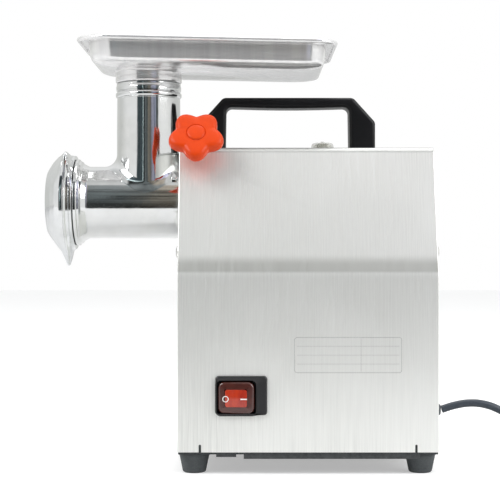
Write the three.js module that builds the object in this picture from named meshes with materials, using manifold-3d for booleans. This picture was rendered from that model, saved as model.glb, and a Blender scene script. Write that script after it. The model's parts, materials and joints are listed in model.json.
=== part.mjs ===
// Electric meat grinder with a size 8 head, built from separate pieces.
// Millimetres, +Z up. The head points to -X, the mains cord leaves at +X, the switch faces -Y.
// The origin is the middle of the machine's footprint, on the surface that the feet stand on.

import * as THREE from "three";
import { mergeVertices } from "three/addons/utils/BufferGeometryUtils.js";
import Module from "manifold-3d";

const wasm = await Module();
wasm.setup();

// ---------------------------------------------------------------- driving dimensions

const GAP = 0.3; // clearance between neighbouring pieces
const FINE = 24; // facets round a large diameter
const MEDIUM = 18;
const COARSE = 12;
const SMALL = 8;

// The folded steel casing: upright sides below the bend, sides leaning inwards above it.
const CASE = {
  front: -45, rear: 164, bottom: 18, bend: 160, top: 264,
  halfBottom: 100, halfTop: 68, sheet: 1.5, bendRadius: 30, topRadius: 6,
};
const SLOT = { xs: [-27, 146], width: 2, height: 6 };
const PANEL_SCREW = { y: 86, z: 178, headRadius: 5.5, head: 1.9, shank: 2, length: 8 };

// The bottom tray with its hanging lips, and the four feet.
const BASE = { thickness: 1.5, half: 98.4, flange: 12 };
const LIPS = [{ x0: -14, x1: 2, z: 14.1 }, { x0: 8, x1: 149, z: 12.6 }];
const FOOT = { xs: [-32, 151], y: 83, top: 12.5, bottom: 9.2, height: 15.9, edge: 1.2 };

// The carrying handle on the centreline of the top.
const HANDLE = {
  front: -29, rear: 121, frontInner: -8, rearInner: 99, shoulder: 290, top: 311,
  slant: 19, inner: 303, half: 13, innerRadius: 6,
};
const HANDLE_SCREW = { xs: [-18.5, 110], radius: 2.5, head: 4.5, rise: 12 };

// The mains switch on the near side, and the overload button on the top.
const SWITCH = {
  x: 6.1, z: 63.5, width: 41.5, height: 31.2, lip: 2.2, collar: 12, overlap: 0.8,
  windowX: 2.1, windowZ: -1.7, capWidth: 29, capHeight: 25.2, tilt: -5,
};
const RESET = { x: 76, bootRadius: 11, bootTop: 274, button: 5.5, neck: 8, body: 10 };

// The gear train: motor pinion, idler gear and pinion, output gear, all in one upright plane.
const AXIS_Z = 221; // height of the auger and output shaft
const STAGE_ONE = { pinion: 12, wheel: 36, module: 1.6, x0: 16, x1: 26 };
const STAGE_TWO = { pinion: 11, wheel: 30, module: 2.25, x0: -2, x1: 12 };
const IDLER_Z = AXIS_Z - ((STAGE_TWO.pinion + STAGE_TWO.wheel) * STAGE_TWO.module) / 2;
const MOTOR_Z = IDLER_Z - ((STAGE_ONE.pinion + STAGE_ONE.wheel) * STAGE_ONE.module) / 2;
const GEARBOX = {
  front: -14, wall: 8, rear: 30, shell: 4, cover: 6, half: 40.4, footHalf: 62, footTop: 26,
  socketFront: -46, socketRadius: 37.5, bossRadius: 10, bossEnd: 60,
};
const MOTOR = { front: 36.6, rear: 140, radius: 52, wall: 4, core0: 54, core1: 112, rotor: 30 };

// The grinding head. Lengths along X, radii about the auger's axis.
const HEAD = {
  radius: 31, bore: 27, rear: -20, backWall: -27, mouth: -153, thread: 36.6,
  flange: 37.4, flange0: -137.3, flange1: -133, taper: -126,
  neckX: -75, neckRadius: 27.5, neckBore: 24.4, neckTop: 324,
};
const PLATE = { x0: -156, x1: -150.3, radius: 31, holes: [[6, 10.5], [12, 19.5]], hole: 3.2 };
const KNIFE = { x0: -149.7, x1: -144.3, radius: 25.5 };
const AUGER = { front: -143.7, rear: -29.6, flight: 26.2, core: 9, turns: 3.2, square: 10, pin: 3.7 };
const NUT = {
  rear: -137.6, opening: 23, pocket: 33.6, lobe: 56.7, lobeTurn: 105, body: 41, lobe0: -149.5, lobe1: -141.5,
};

// The feed tray, whose pan falls a little towards the rear.
const TRAY = {
  ahead: 57.5, behind: 161, half: 70, bottom: 333.4, rim: 356.8, lip: 4, slope: 0.021,
  headCorner: 30, rearCorner: 19, sheet: 1.2, flange: 9.5,
  spout: 28.7, insert: 24.1, spoutBore: 22.6, insertEnd: 297,
};

// The clamp screw, square to the auger's axis and tilted up on the near side.
const CLAMP = { x: -30.5, elevation: 31, stud: 4, tip: 31.4, washer: 82, hub: 84.5 };
const KNOB = { lobes: 5, tip: 23, waist: 17.7, back: 93.5, front: 102.5, boss: 106.5, hub: 10 };

// The mains cord: free stretch, coil, tail and plug.
const CORD = { radius: 3.5, exitY: 55, exitZ: 34.6, reliefEnd: 186 };
const CORD_ROUTE = [
  [187.3, 55, 34.9], [199, 55, 38.5], [213, 55, 40.6], [227, 55.2, 39.2], [240, 56.4, 34.3],
  [255, 60, 25.4], [270, 66.3, 14.6], [279, 69.8, 9.2], [284, 71.2, 6.9],
];
const COIL = { x: 312, y: 30, inner: 31.3, outer: 45.7, height: 21 };
const TAIL = { angle: -20, radius: 42, start: 27, end: 46, z: 17.5 };
const PLUG = { sleeve: 22, body: 34, radius: 17, pin: 2.4, pinLength: 19, pinSpacing: 9.5 };

// ---------------------------------------------------------------- materials

const paint = (color, roughness, metalness) => ({ color, roughness, metalness });
const FINISH = {
  brushedSteel: paint(0xd6d8d2, 0.4, 1),
  polishedSteel: paint(0xdadcda, 0.15, 1),
  castAluminium: paint(0xb9bdbd, 0.3, 1),
  roughCasting: paint(0x8f9394, 0.6, 1),
  darkSheet: paint(0x23272a, 0.6, 0.6),
  gearSteel: paint(0x7d8082, 0.35, 1),
  copper: paint(0xb06a3a, 0.4, 1),
  blackPlastic: paint(0x0c0d0e, 0.35, 0),
  greyRubber: paint(0x4b5052, 0.8, 0),
  orangePlastic: paint(0xec5528, 0.3, 0),
  redPlastic: paint(0xa02a14, 0.15, 0),
  clearRubber: paint(0xd9d6c6, 0.3, 0),
  whitePlastic: paint(0xe6e4de, 0.5, 0),
  cordBlue: paint(0x1e2430, 0.6, 0),
  nickel: paint(0xc8c4b8, 0.25, 1),
};

// ---------------------------------------------------------------- shape helpers

const rad = THREE.MathUtils.degToRad;
const point = (x, y) => new THREE.Vector2(x, y);

// A closed geometry as a solid with shared vertices, no flat triangles and faces pointing out.
function toSolid(geometry) {
  const bare = geometry.index ? geometry.toNonIndexed() : geometry.clone();
  bare.deleteAttribute("normal");
  bare.deleteAttribute("uv");
  const merged = mergeVertices(bare, 1e-3);
  const corners = merged.index.array;
  const place = merged.attributes.position;
  const [a, b, c] = [new THREE.Vector3(), new THREE.Vector3(), new THREE.Vector3()];
  const kept = [];
  let volume = 0;
  for (let i = 0; i < corners.length; i += 3) {
    const [p, q, r] = corners.slice(i, i + 3);
    if (p === q || q === r || r === p) continue;
    kept.push([p, q, r]);
    a.fromBufferAttribute(place, p);
    b.fromBufferAttribute(place, q);
    c.fromBufferAttribute(place, r);
    volume += a.dot(b.cross(c));
  }
  const facing = volume < 0 ? kept.map(([p, q, r]) => [p, r, q]) : kept;
  return new wasm.Manifold(new wasm.Mesh({
    numProp: 3,
    vertProperties: Float32Array.from(place.array),
    triVerts: Uint32Array.from(facing.flat()),
  }));
}

function toGeometry(solid) {
  const mesh = solid.getMesh();
  const geometry = new THREE.BufferGeometry();
  geometry.setAttribute("position", new THREE.BufferAttribute(mesh.vertProperties, 3));
  geometry.setIndex(new THREE.BufferAttribute(mesh.triVerts, 1));
  geometry.computeVertexNormals();
  return geometry;
}

const join = (...parts) => toGeometry(parts.map(toSolid).reduce((sum, part) => sum.add(part)));
const cut = (body, ...tools) =>
  toGeometry(tools.map(toSolid).reduce((rest, tool) => rest.subtract(tool), toSolid(body)));

function box(x0, x1, y0, y1, z0, z1) {
  const block = new THREE.BoxGeometry(x1 - x0, y1 - y0, z1 - z0);
  return block.translate((x0 + x1) / 2, (y0 + y1) / 2, (z0 + z1) / 2);
}

// A body of revolution. Its profile lists [along, radius] and is closed here if it leaves the axis.
function turned(axis, profile, facets = MEDIUM) {
  const onAxis = profile[0][1] === 0 && profile.at(-1)[1] === 0;
  const closed = onAxis ? profile : [...profile, profile[0]];
  const lathe = new THREE.LatheGeometry(closed.map(([along, r]) => point(r, along)), facets);
  if (axis === "x") return lathe.rotateZ(-Math.PI / 2);
  if (axis === "z") return lathe.rotateX(Math.PI / 2);
  return lathe;
}

const rod = (axis, from, to, radius, facets) =>
  turned(axis, [[from, 0], [from, radius], [to, radius], [to, 0]], facets);
const tube = (axis, from, to, outer, inner, facets) =>
  turned(axis, [[from, inner], [from, outer], [to, outer], [to, inner]], facets);

// Corners [x, y, radius] joined by straight lines, with each corner rounded by an arc.
function rounded(corners, steps = 4) {
  const outline = [];
  corners.forEach(([x, y, radius], i) => {
    const here = point(x, y);
    if (!radius) {
      outline.push(here);
      return;
    }
    const before = corners[(i + corners.length - 1) % corners.length];
    const after = corners[(i + 1) % corners.length];
    const u = point(before[0], before[1]).sub(here).normalize();
    const v = point(after[0], after[1]).sub(here).normalize();
    const half = Math.acos(THREE.MathUtils.clamp(u.dot(v), -1, 1)) / 2;
    const reach = radius / Math.tan(half);
    const centre = u.clone().add(v).normalize().multiplyScalar(radius / Math.sin(half)).add(here);
    const start = u.multiplyScalar(reach).add(here).sub(centre);
    const end = v.multiplyScalar(reach).add(here).sub(centre);
    const sweep = Math.atan2(start.cross(end), start.dot(end));
    for (let k = 0; k <= steps; k += 1) {
      const turn = (sweep * k) / steps;
      outline.push(start.clone().rotateAround(point(0, 0), turn).add(centre));
    }
  });
  return outline;
}

const rectangle = (halfWidth, halfHeight, radius, x = 0, y = 0) => rounded([
  [x - halfWidth, y - halfHeight, radius], [x + halfWidth, y - halfHeight, radius],
  [x + halfWidth, y + halfHeight, radius], [x - halfWidth, y + halfHeight, radius],
]);

function prism(outline, depth) {
  return new THREE.ExtrudeGeometry(new THREE.Shape(outline), { depth, bevelEnabled: false });
}

// Prisms along X, Y and Z. Their outlines hold (y, z), (x, z) and (x, y).
const X = new THREE.Vector3(1, 0, 0);
const Y = new THREE.Vector3(0, 1, 0);
const Z = new THREE.Vector3(0, 0, 1);
const prismX = (outline, x0, x1) =>
  prism(outline, x1 - x0).applyMatrix4(new THREE.Matrix4().makeBasis(Y, Z, X)).translate(x0, 0, 0);
const prismY = (outline, y0, y1) => prism(outline, y1 - y0)
  .applyMatrix4(new THREE.Matrix4().makeBasis(X, Z, Y.clone().negate())).translate(0, y1, 0);
const prismZ = (outline, z0, z1) => prism(outline, z1 - z0).translate(0, 0, z0);

// An outline given by its radius at each angle.
function polar(radiusAt, count) {
  return Array.from({ length: count }, (_, i) => {
    const angle = (i / count) * 2 * Math.PI;
    return point(radiusAt(angle), 0).rotateAround(point(0, 0), angle);
  });
}

// ---------------------------------------------------------------- assembly helpers

const grinder = new THREE.Group();

function place(parent, name, geometry, finish) {
  const mesh = new THREE.Mesh(toGeometry(toSolid(geometry)), new THREE.MeshStandardMaterial(finish));
  mesh.name = name;
  parent.add(mesh);
  return mesh;
}

function frame(parent, x, y, z) {
  const group = new THREE.Group();
  group.position.set(x, y, z);
  parent.add(group);
  return group;
}

// ---------------------------------------------------------------- casing

// The casing's cross-section at a depth below its outer skin, as corners of (y, z).
function caseSection(depth, bottom) {
  const lean = Math.atan2(CASE.halfBottom - CASE.halfTop, CASE.top - CASE.bend);
  const side = CASE.halfBottom - depth;
  const bend = CASE.bend - depth * Math.tan(lean / 2);
  const shoulder = CASE.halfTop - depth * (1 / Math.cos(lean) - Math.tan(lean));
  const top = CASE.top - depth;
  const bendRadius = CASE.bendRadius - depth;
  const topRadius = CASE.topRadius - depth;
  return [
    [side, bottom, 0], [side, bend, bendRadius], [shoulder, top, topRadius],
    [-shoulder, top, topRadius], [-side, bend, bendRadius], [-side, bottom, 0],
  ];
}

function clampPlaced(geometry) {
  return geometry.rotateX(rad(90 - CLAMP.elevation)).translate(CLAMP.x, 0, AXIS_Z);
}

function makeCasing() {
  const skin = prismX(rounded(caseSection(0, CASE.bottom)), CASE.front, CASE.rear);
  const inside = prismX(rounded(caseSection(CASE.sheet, CASE.bottom - 1)), CASE.front - 1, CASE.rear + 1);
  const holeHalfWidth = SWITCH.width / 2 - SWITCH.overlap;
  const holeHalfHeight = SWITCH.height / 2 - SWITCH.overlap;
  const switchHole = box(
    SWITCH.x - holeHalfWidth, SWITCH.x + holeHalfWidth, -CASE.halfBottom - 1, -90,
    SWITCH.z - holeHalfHeight, SWITCH.z + holeHalfHeight,
  );
  const slots = SLOT.xs.map((x) => box(
    x - SLOT.width / 2, x + SLOT.width / 2, -CASE.halfBottom - 1, CASE.halfBottom + 1,
    CASE.bottom - 1, CASE.bottom + SLOT.height,
  ));
  const screwHoles = HANDLE_SCREW.xs.map((x) =>
    rod("z", CASE.top - 5, CASE.top + 1, HANDLE_SCREW.radius + GAP, SMALL).translate(x, 0, 0));
  const resetHole = rod("z", CASE.top - 5, CASE.top + 1, RESET.neck + GAP, COARSE).translate(RESET.x, 0, 0);
  const studHole = clampPlaced(rod("z", 62, 95, 6.5, COARSE));
  place(grinder, "casing_shell",
    cut(skin, inside, switchHole, ...slots, ...screwHoles, resetHole, studHole), FINISH.brushedSteel);

  const panel = rounded(caseSection(CASE.sheet + GAP, CASE.bottom + GAP));
  const screwYs = [-PANEL_SCREW.y, PANEL_SCREW.y];
  const holes = (x0, x1) => screwYs.map((y) =>
    rod("x", x0, x1, PANEL_SCREW.shank + GAP, SMALL).translate(0, y, PANEL_SCREW.z));
  const frontFace = CASE.front + GAP;
  const rearFace = CASE.rear - GAP;
  const socketHole = rod("x", frontFace - 1, frontFace + 5, GEARBOX.socketRadius + GAP, FINE)
    .translate(0, 0, AXIS_Z);
  place(grinder, "front_panel",
    cut(prismX(panel, frontFace, frontFace + CASE.sheet), socketHole, ...holes(-50, -40)),
    FINISH.brushedSteel);

  const vents = [];
  for (const y of [-36, 0, 36]) {
    for (let z = 110; z <= 200; z += 18) {
      vents.push(box(rearFace - 5, rearFace + 1, y - 13, y + 13, z, z + 5));
    }
  }
  const cordHole = rod("x", rearFace - 5, rearFace + 1, 7 + GAP, COARSE)
    .translate(0, CORD.exitY, CORD.exitZ);
  place(grinder, "rear_panel",
    cut(prismX(panel, rearFace - CASE.sheet, rearFace), cordHole, ...vents, ...holes(160, 168)),
    FINISH.brushedSteel);

  for (const [side, y] of [["near", screwYs[0]], ["far", screwYs[1]]]) {
    const screw = (face, out) => turned("x", [
      [face + out * (GAP + PANEL_SCREW.head), 0], [face + out * (GAP + PANEL_SCREW.head), 3.4],
      [face + out * GAP, PANEL_SCREW.headRadius], [face + out * GAP, PANEL_SCREW.shank],
      [face - out * PANEL_SCREW.length, PANEL_SCREW.shank], [face - out * PANEL_SCREW.length, 0],
    ], SMALL).translate(0, y, PANEL_SCREW.z);
    place(grinder, `front_panel_screw_${side}`, screw(frontFace, -1), FINISH.gearSteel);
    place(grinder, `rear_panel_screw_${side}`, screw(rearFace, 1), FINISH.gearSteel);
  }
}

// ---------------------------------------------------------------- base, feet and handle

function makeBase() {
  const top = CASE.bottom - GAP;
  const under = top - BASE.thickness;
  const parts = [box(CASE.front + 0.5, CASE.rear - 0.5, -BASE.half, BASE.half, under, top)];
  for (const side of [-1, 1]) {
    const edge = (inner, outer) => [side * inner, side * outer].sort((p, q) => p - q);
    const [f0, f1] = edge(96.6, 98.1);
    parts.push(box(CASE.front + 4, CASE.rear - 4, f0, f1, top - 1, top + BASE.flange));
    const [l0, l1] = edge(BASE.half - BASE.thickness, BASE.half);
    for (const lip of LIPS) parts.push(box(lip.x0, lip.x1, l0, l1, lip.z, top - 0.5));
  }
  place(grinder, "base_plate", join(...parts), FINISH.darkSheet);

  for (const [end, x] of [["front", FOOT.xs[0]], ["rear", FOOT.xs[1]]]) {
    for (const [side, y] of [["near", -FOOT.y], ["far", FOOT.y]]) {
      const foot = turned("z", [
        [0, 0], [0, FOOT.bottom - FOOT.edge], [FOOT.edge, FOOT.bottom],
        [FOOT.height, FOOT.top], [FOOT.height, 0],
      ], COARSE);
      place(grinder, `foot_${end}_${side}`, foot, FINISH.greyRubber).position.set(x, y, 0);
    }
  }
}

function makeHandle() {
  const h = HANDLE;
  const seat = CASE.top + GAP;
  const outline = rounded([
    [h.front, seat, 0], [h.frontInner, seat, 0], [h.frontInner, h.inner, h.innerRadius],
    [h.rearInner, h.inner, h.innerRadius], [h.rearInner, seat, 0], [h.rear, seat, 0],
    [h.rear, h.shoulder, 3], [h.rear - h.slant, h.top, 3], [h.front + h.slant, h.top, 3],
    [h.front, h.shoulder, 3],
  ], 3);
  const bores = HANDLE_SCREW.xs.map((x) =>
    rod("z", seat - 1, seat + HANDLE_SCREW.rise + GAP, HANDLE_SCREW.radius + GAP, SMALL)
      .translate(x, 0, 0));
  place(grinder, "carry_handle", cut(prismY(outline, -h.half, h.half), ...bores), FINISH.blackPlastic);
  const under = CASE.top - CASE.sheet - GAP;
  HANDLE_SCREW.xs.forEach((x, i) => {
    const screw = turned("z", [
      [under - 2.4, 0], [under - 2.4, HANDLE_SCREW.head], [under, HANDLE_SCREW.head],
      [under, HANDLE_SCREW.radius], [seat + HANDLE_SCREW.rise, HANDLE_SCREW.radius],
      [seat + HANDLE_SCREW.rise, 0],
    ], SMALL);
    place(grinder, `handle_screw_${i ? "rear" : "front"}`, screw, FINISH.gearSteel).position.x = x;
  });
}

// ---------------------------------------------------------------- switch and overload button

function makeSwitch() {
  const s = SWITCH;
  const group = frame(grinder, s.x, -CASE.halfBottom, s.z);
  const windowX = -s.width / 2 + s.windowX + s.capWidth / 2;
  const window = rectangle(s.capWidth / 2 + 0.55, s.capHeight / 2 + 0.6, 3, windowX, s.windowZ);
  const opening = prismY(window, -9, 40);
  const lip = prismY(rectangle(s.width / 2, s.height / 2, 2.5), -s.lip - GAP, -GAP);
  const inset = s.overlap + GAP;
  const sleeve = rectangle(s.width / 2 - inset, s.height / 2 - inset, 1);
  const collar = prismY(sleeve, -1, s.collar);
  const capOutline = rectangle(s.capWidth / 2, s.capHeight / 2, 4.5);
  place(group, "switch_bezel", cut(join(lip, collar), opening), FINISH.blackPlastic);
  place(group, "switch_body", prismY(sleeve, s.collar + GAP, 32), FINISH.blackPlastic);
  const cap = place(group, "switch_rocker", prismY(capOutline, -3.4, 5), FINISH.redPlastic);
  cap.position.set(windowX, 0, s.windowZ);
  cap.rotation.z = rad(s.tilt);
}

function makeReset() {
  const r = RESET;
  const group = frame(grinder, r.x, 0, 0);
  const seat = CASE.top + GAP;
  place(group, "reset_boot", turned("z", [
    [seat, r.bootRadius], [r.bootTop - 3.5, r.bootRadius - 1.4], [r.bootTop, r.bootRadius - 4],
    [r.bootTop, 0], [r.bootTop - 1, 0], [r.bootTop - 1, r.bootRadius - 4.6],
    [r.bootTop - 3.9, r.bootRadius - 2.4], [seat, r.bootRadius - 1.2],
  ]), FINISH.clearRubber);
  const under = CASE.top - CASE.sheet - GAP;
  const breaker = turned("z", [
    [under - 26, 0], [under - 26, r.body], [under, r.body], [under, r.neck],
    [seat + 2.5, r.neck], [seat + 2.5, r.button + GAP], [under - 14, r.button + GAP], [under - 14, 0],
  ]);
  place(group, "breaker_body", breaker, FINISH.blackPlastic);
  place(group, "reset_button", rod("z", under - 10, r.bootTop - 1.8, r.button, COARSE),
    FINISH.blackPlastic);
}

// ---------------------------------------------------------------- gearbox

// A spur wheel's outline. One tooth points along the phase angle.
function gearOutline(teeth, module, phase) {
  const pitch = (teeth * module) / 2;
  const tip = pitch + 0.8 * module;
  const root = pitch - 1.15 * module;
  const step = (2 * Math.PI) / teeth;
  const flank = [[root, -0.29], [tip, -0.11], [tip, 0.11], [root, 0.29]];
  return Array.from({ length: teeth }, (_, k) => flank.map(([radius, share]) =>
    point(radius, 0).rotateAround(point(0, 0), phase + (k + share) * step))).flat();
}

// A gear about X with a bore. Meshing gears sit one above the other: a pinion has a tooth
// pointing up, and the wheel above it has a gap pointing down.
const makePinion = ({ pinion, module, x0, x1 }, bore) => cut(
  prismX(gearOutline(pinion, module, Math.PI / 2), x0, x1), rod("x", x0 - 1, x1 + 1, bore, COARSE));
const makeWheel = ({ wheel, module, x0, x1 }, bore) => cut(
  prismX(gearOutline(wheel, module, -Math.PI / 2 + Math.PI / wheel), x0, x1),
  rod("x", x0 - 1, x1 + 1, bore, COARSE));

function makeGearbox() {
  const g = GEARBOX;
  const arch = (half, bottom) => rounded([
    [-half, bottom, 0], [half, bottom, 0], [half, AXIS_Z + half, half - 0.1],
    [-half, AXIS_Z + half, half - 0.1],
  ], 10);
  const wallRear = g.front + g.wall;
  const output = (geometry) => geometry.translate(0, 0, AXIS_Z);
  const idler = (geometry) => geometry.translate(0, 0, IDLER_Z);
  const chamberFloor = MOTOR_Z - 30;
  const body = join(
    prismX(arch(g.half, CASE.bottom), g.front, wallRear),
    prismX(arch(g.half, chamberFloor - g.shell), wallRear - 0.5, g.rear),
    box(g.front, g.rear, -g.footHalf, g.footHalf, CASE.bottom, g.footTop),
    output(rod("x", g.socketFront, g.front + 0.5, g.socketRadius, FINE)),
    clampPlaced(rod("z", HEAD.radius + 2, g.bossEnd, g.bossRadius, COARSE)),
  );
  const housing = cut(body,
    prismX(arch(g.half - g.shell, chamberFloor), wallRear, g.rear + 1),
    output(rod("x", g.socketFront - 1, g.front, HEAD.radius + GAP, FINE)),
    output(rod("x", g.front - 1, wallRear + 1, 17 + GAP, MEDIUM)),
    idler(rod("x", g.front + 2, wallRear + 1, 5 + GAP, SMALL)),
    clampPlaced(rod("z", HEAD.bore, g.bossEnd + 1, CLAMP.stud + 2 * GAP, SMALL)),
    box(g.front - 1, wallRear + 1, -24, 24, 40, chamberFloor - 14),
  );
  place(grinder, "gearbox_housing", housing, FINISH.roughCasting);

  const coverFront = g.rear + GAP;
  const coverRear = coverFront + g.cover;
  const cover = cut(prismX(arch(g.half, chamberFloor - g.shell), coverFront, coverRear),
    output(rod("x", coverFront - 1, coverRear + 1, 11 + GAP, COARSE)),
    idler(rod("x", coverFront - 1, coverRear + 1, 5 + GAP, SMALL)),
    rod("x", coverFront - 1, coverRear + 1, 11 + GAP, COARSE).translate(0, 0, MOTOR_Z));
  place(grinder, "gearbox_cover", cover, FINISH.roughCasting);

  const outputLine = frame(grinder, 0, 0, AXIS_Z);
  const idlerLine = frame(grinder, 0, 0, IDLER_Z);
  place(outputLine, "output_bearing_front", tube("x", g.front + GAP, wallRear, 17, 10 + GAP),
    FINISH.gearSteel);
  place(outputLine, "output_bearing_rear", tube("x", coverFront, coverRear, 11, 6 + GAP, COARSE),
    FINISH.gearSteel);
  place(idlerLine, "idler_shaft", rod("x", g.front + 2 + GAP, coverRear, 5, SMALL), FINISH.gearSteel);
  place(idlerLine, "idler_gear", makeWheel(STAGE_ONE, 5 + GAP), FINISH.gearSteel);
  place(idlerLine, "idler_pinion", makePinion(STAGE_TWO, 5 + GAP), FINISH.gearSteel);
  place(outputLine, "output_gear", makeWheel(STAGE_TWO, 9 + GAP), FINISH.gearSteel);
  const socketHalf = AUGER.square / 2 + GAP;
  const shaft = turned("x", [
    [HEAD.rear + 1.5, 0], [HEAD.rear + 1.5, 10], [wallRear + 1, 10], [wallRear + 1, 9],
    [STAGE_TWO.x1 + 2, 9], [STAGE_TWO.x1 + 2, 6], [coverRear, 6], [coverRear, 0],
  ]);
  place(outputLine, "output_shaft",
    cut(shaft, box(HEAD.rear, HEAD.rear + 13, -socketHalf, socketHalf, -socketHalf, socketHalf)),
    FINISH.gearSteel);
}

// ---------------------------------------------------------------- motor

function makeMotor() {
  const m = MOTOR;
  const line = frame(grinder, 0, 0, MOTOR_Z);
  const inner = m.radius - m.wall;
  place(line, "motor_housing", tube("x", m.front, m.rear, m.radius, inner, FINE), FINISH.roughCasting);
  const airHoles = Array.from({ length: 6 }, (_, i) =>
    rod("x", m.rear - 1, m.rear + 8, 7, SMALL).translate(0, 0, 32).rotateX((i * Math.PI) / 3));
  const endDisc = rod("x", m.rear + GAP, m.rear + 5, m.radius, FINE);
  place(line, "motor_end_cover",
    cut(endDisc, rod("x", m.rear - 1, m.rear + 8, 11 + GAP, COARSE), ...airHoles), FINISH.roughCasting);
  place(line, "stator", turned("x", [
    [m.core0 - 12, m.rotor + 2], [m.core0 - 12, 42], [m.core0, inner - 1],
    [m.core1, inner - 1], [m.core1 + 12, 42], [m.core1 + 12, m.rotor + 2],
  ], FINE), FINISH.copper);
  const coverFront = GEARBOX.rear + GAP;
  place(line, "motor_bearing_front",
    tube("x", coverFront, coverFront + GEARBOX.cover, 11, 6 + GAP, COARSE), FINISH.gearSteel);
  place(line, "motor_bearing_rear",
    tube("x", m.rear + GAP, m.rear + 5, 11, 6 + GAP, COARSE), FINISH.gearSteel);

  place(line, "motor_shaft", rod("x", STAGE_ONE.x0 - 4, m.rear + 5, 6, COARSE), FINISH.gearSteel);
  place(line, "motor_pinion", makePinion(STAGE_ONE, 6 + GAP), FINISH.gearSteel);
  place(line, "rotor_core", tube("x", m.core0, m.core1, m.rotor, 6 + GAP), FINISH.gearSteel);
  const blades = Array.from({ length: 8 }, (_, i) =>
    box(0, 9, -0.9, 0.9, 10, 42).rotateX((i * Math.PI) / 4).translate(m.core1 + 14, 0, 0));
  const hub = rod("x", m.core1 + 13, m.core1 + 24, 12, MEDIUM);
  place(line, "cooling_fan",
    cut(join(hub, ...blades), rod("x", m.core1 + 10, m.core1 + 30, 6 + GAP, COARSE)),
    FINISH.whitePlastic);

  place(grinder, "run_capacitor", turned("x", [
    [60, 0], [60, 16], [61.5, 17.2], [128.5, 17.2], [130, 16], [130, 0],
  ], MEDIUM), FINISH.whitePlastic).position.set(0, -50, CASE.bottom + GAP + 17.2);
  const blockTop = CASE.bottom + 16;
  const screwPits = [0, 1, 2, 3].map((i) =>
    rod("z", blockTop - 9, blockTop + 1, 2.2, SMALL).translate(66 + 11 * i, 62, 0));
  place(grinder, "terminal_block",
    cut(box(59, 106, 52, 72, CASE.bottom + GAP, blockTop), ...screwPits), FINISH.whitePlastic);
}

// ---------------------------------------------------------------- grinding head

// A helical flight on a core: a lobed section drawn out along Z and twisted as it rises.
function augerScrew() {
  const length = AUGER.rear - AUGER.front;
  const steps = Math.round(AUGER.turns * 12);
  const section = polar((angle) => {
    const away = Math.abs(Math.atan2(Math.sin(angle), Math.cos(angle)));
    return away < 0.6 ? AUGER.flight - (AUGER.flight - AUGER.core) * (away / 0.6) ** 2 : AUGER.core;
  }, 16);
  const screw = new THREE.ExtrudeGeometry(new THREE.Shape(section), {
    depth: length, steps, bevelEnabled: false,
  });
  const corners = screw.attributes.position;
  const corner = new THREE.Vector3();
  for (let i = 0; i < corners.count; i += 1) {
    corner.fromBufferAttribute(corners, i);
    corner.applyAxisAngle(Z, (corner.z / length) * AUGER.turns * 2 * Math.PI);
    corners.setXYZ(i, corner.x, corner.y, corner.z);
  }
  return screw.rotateY(Math.PI / 2).translate(AUGER.front, 0, 0);
}

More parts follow.
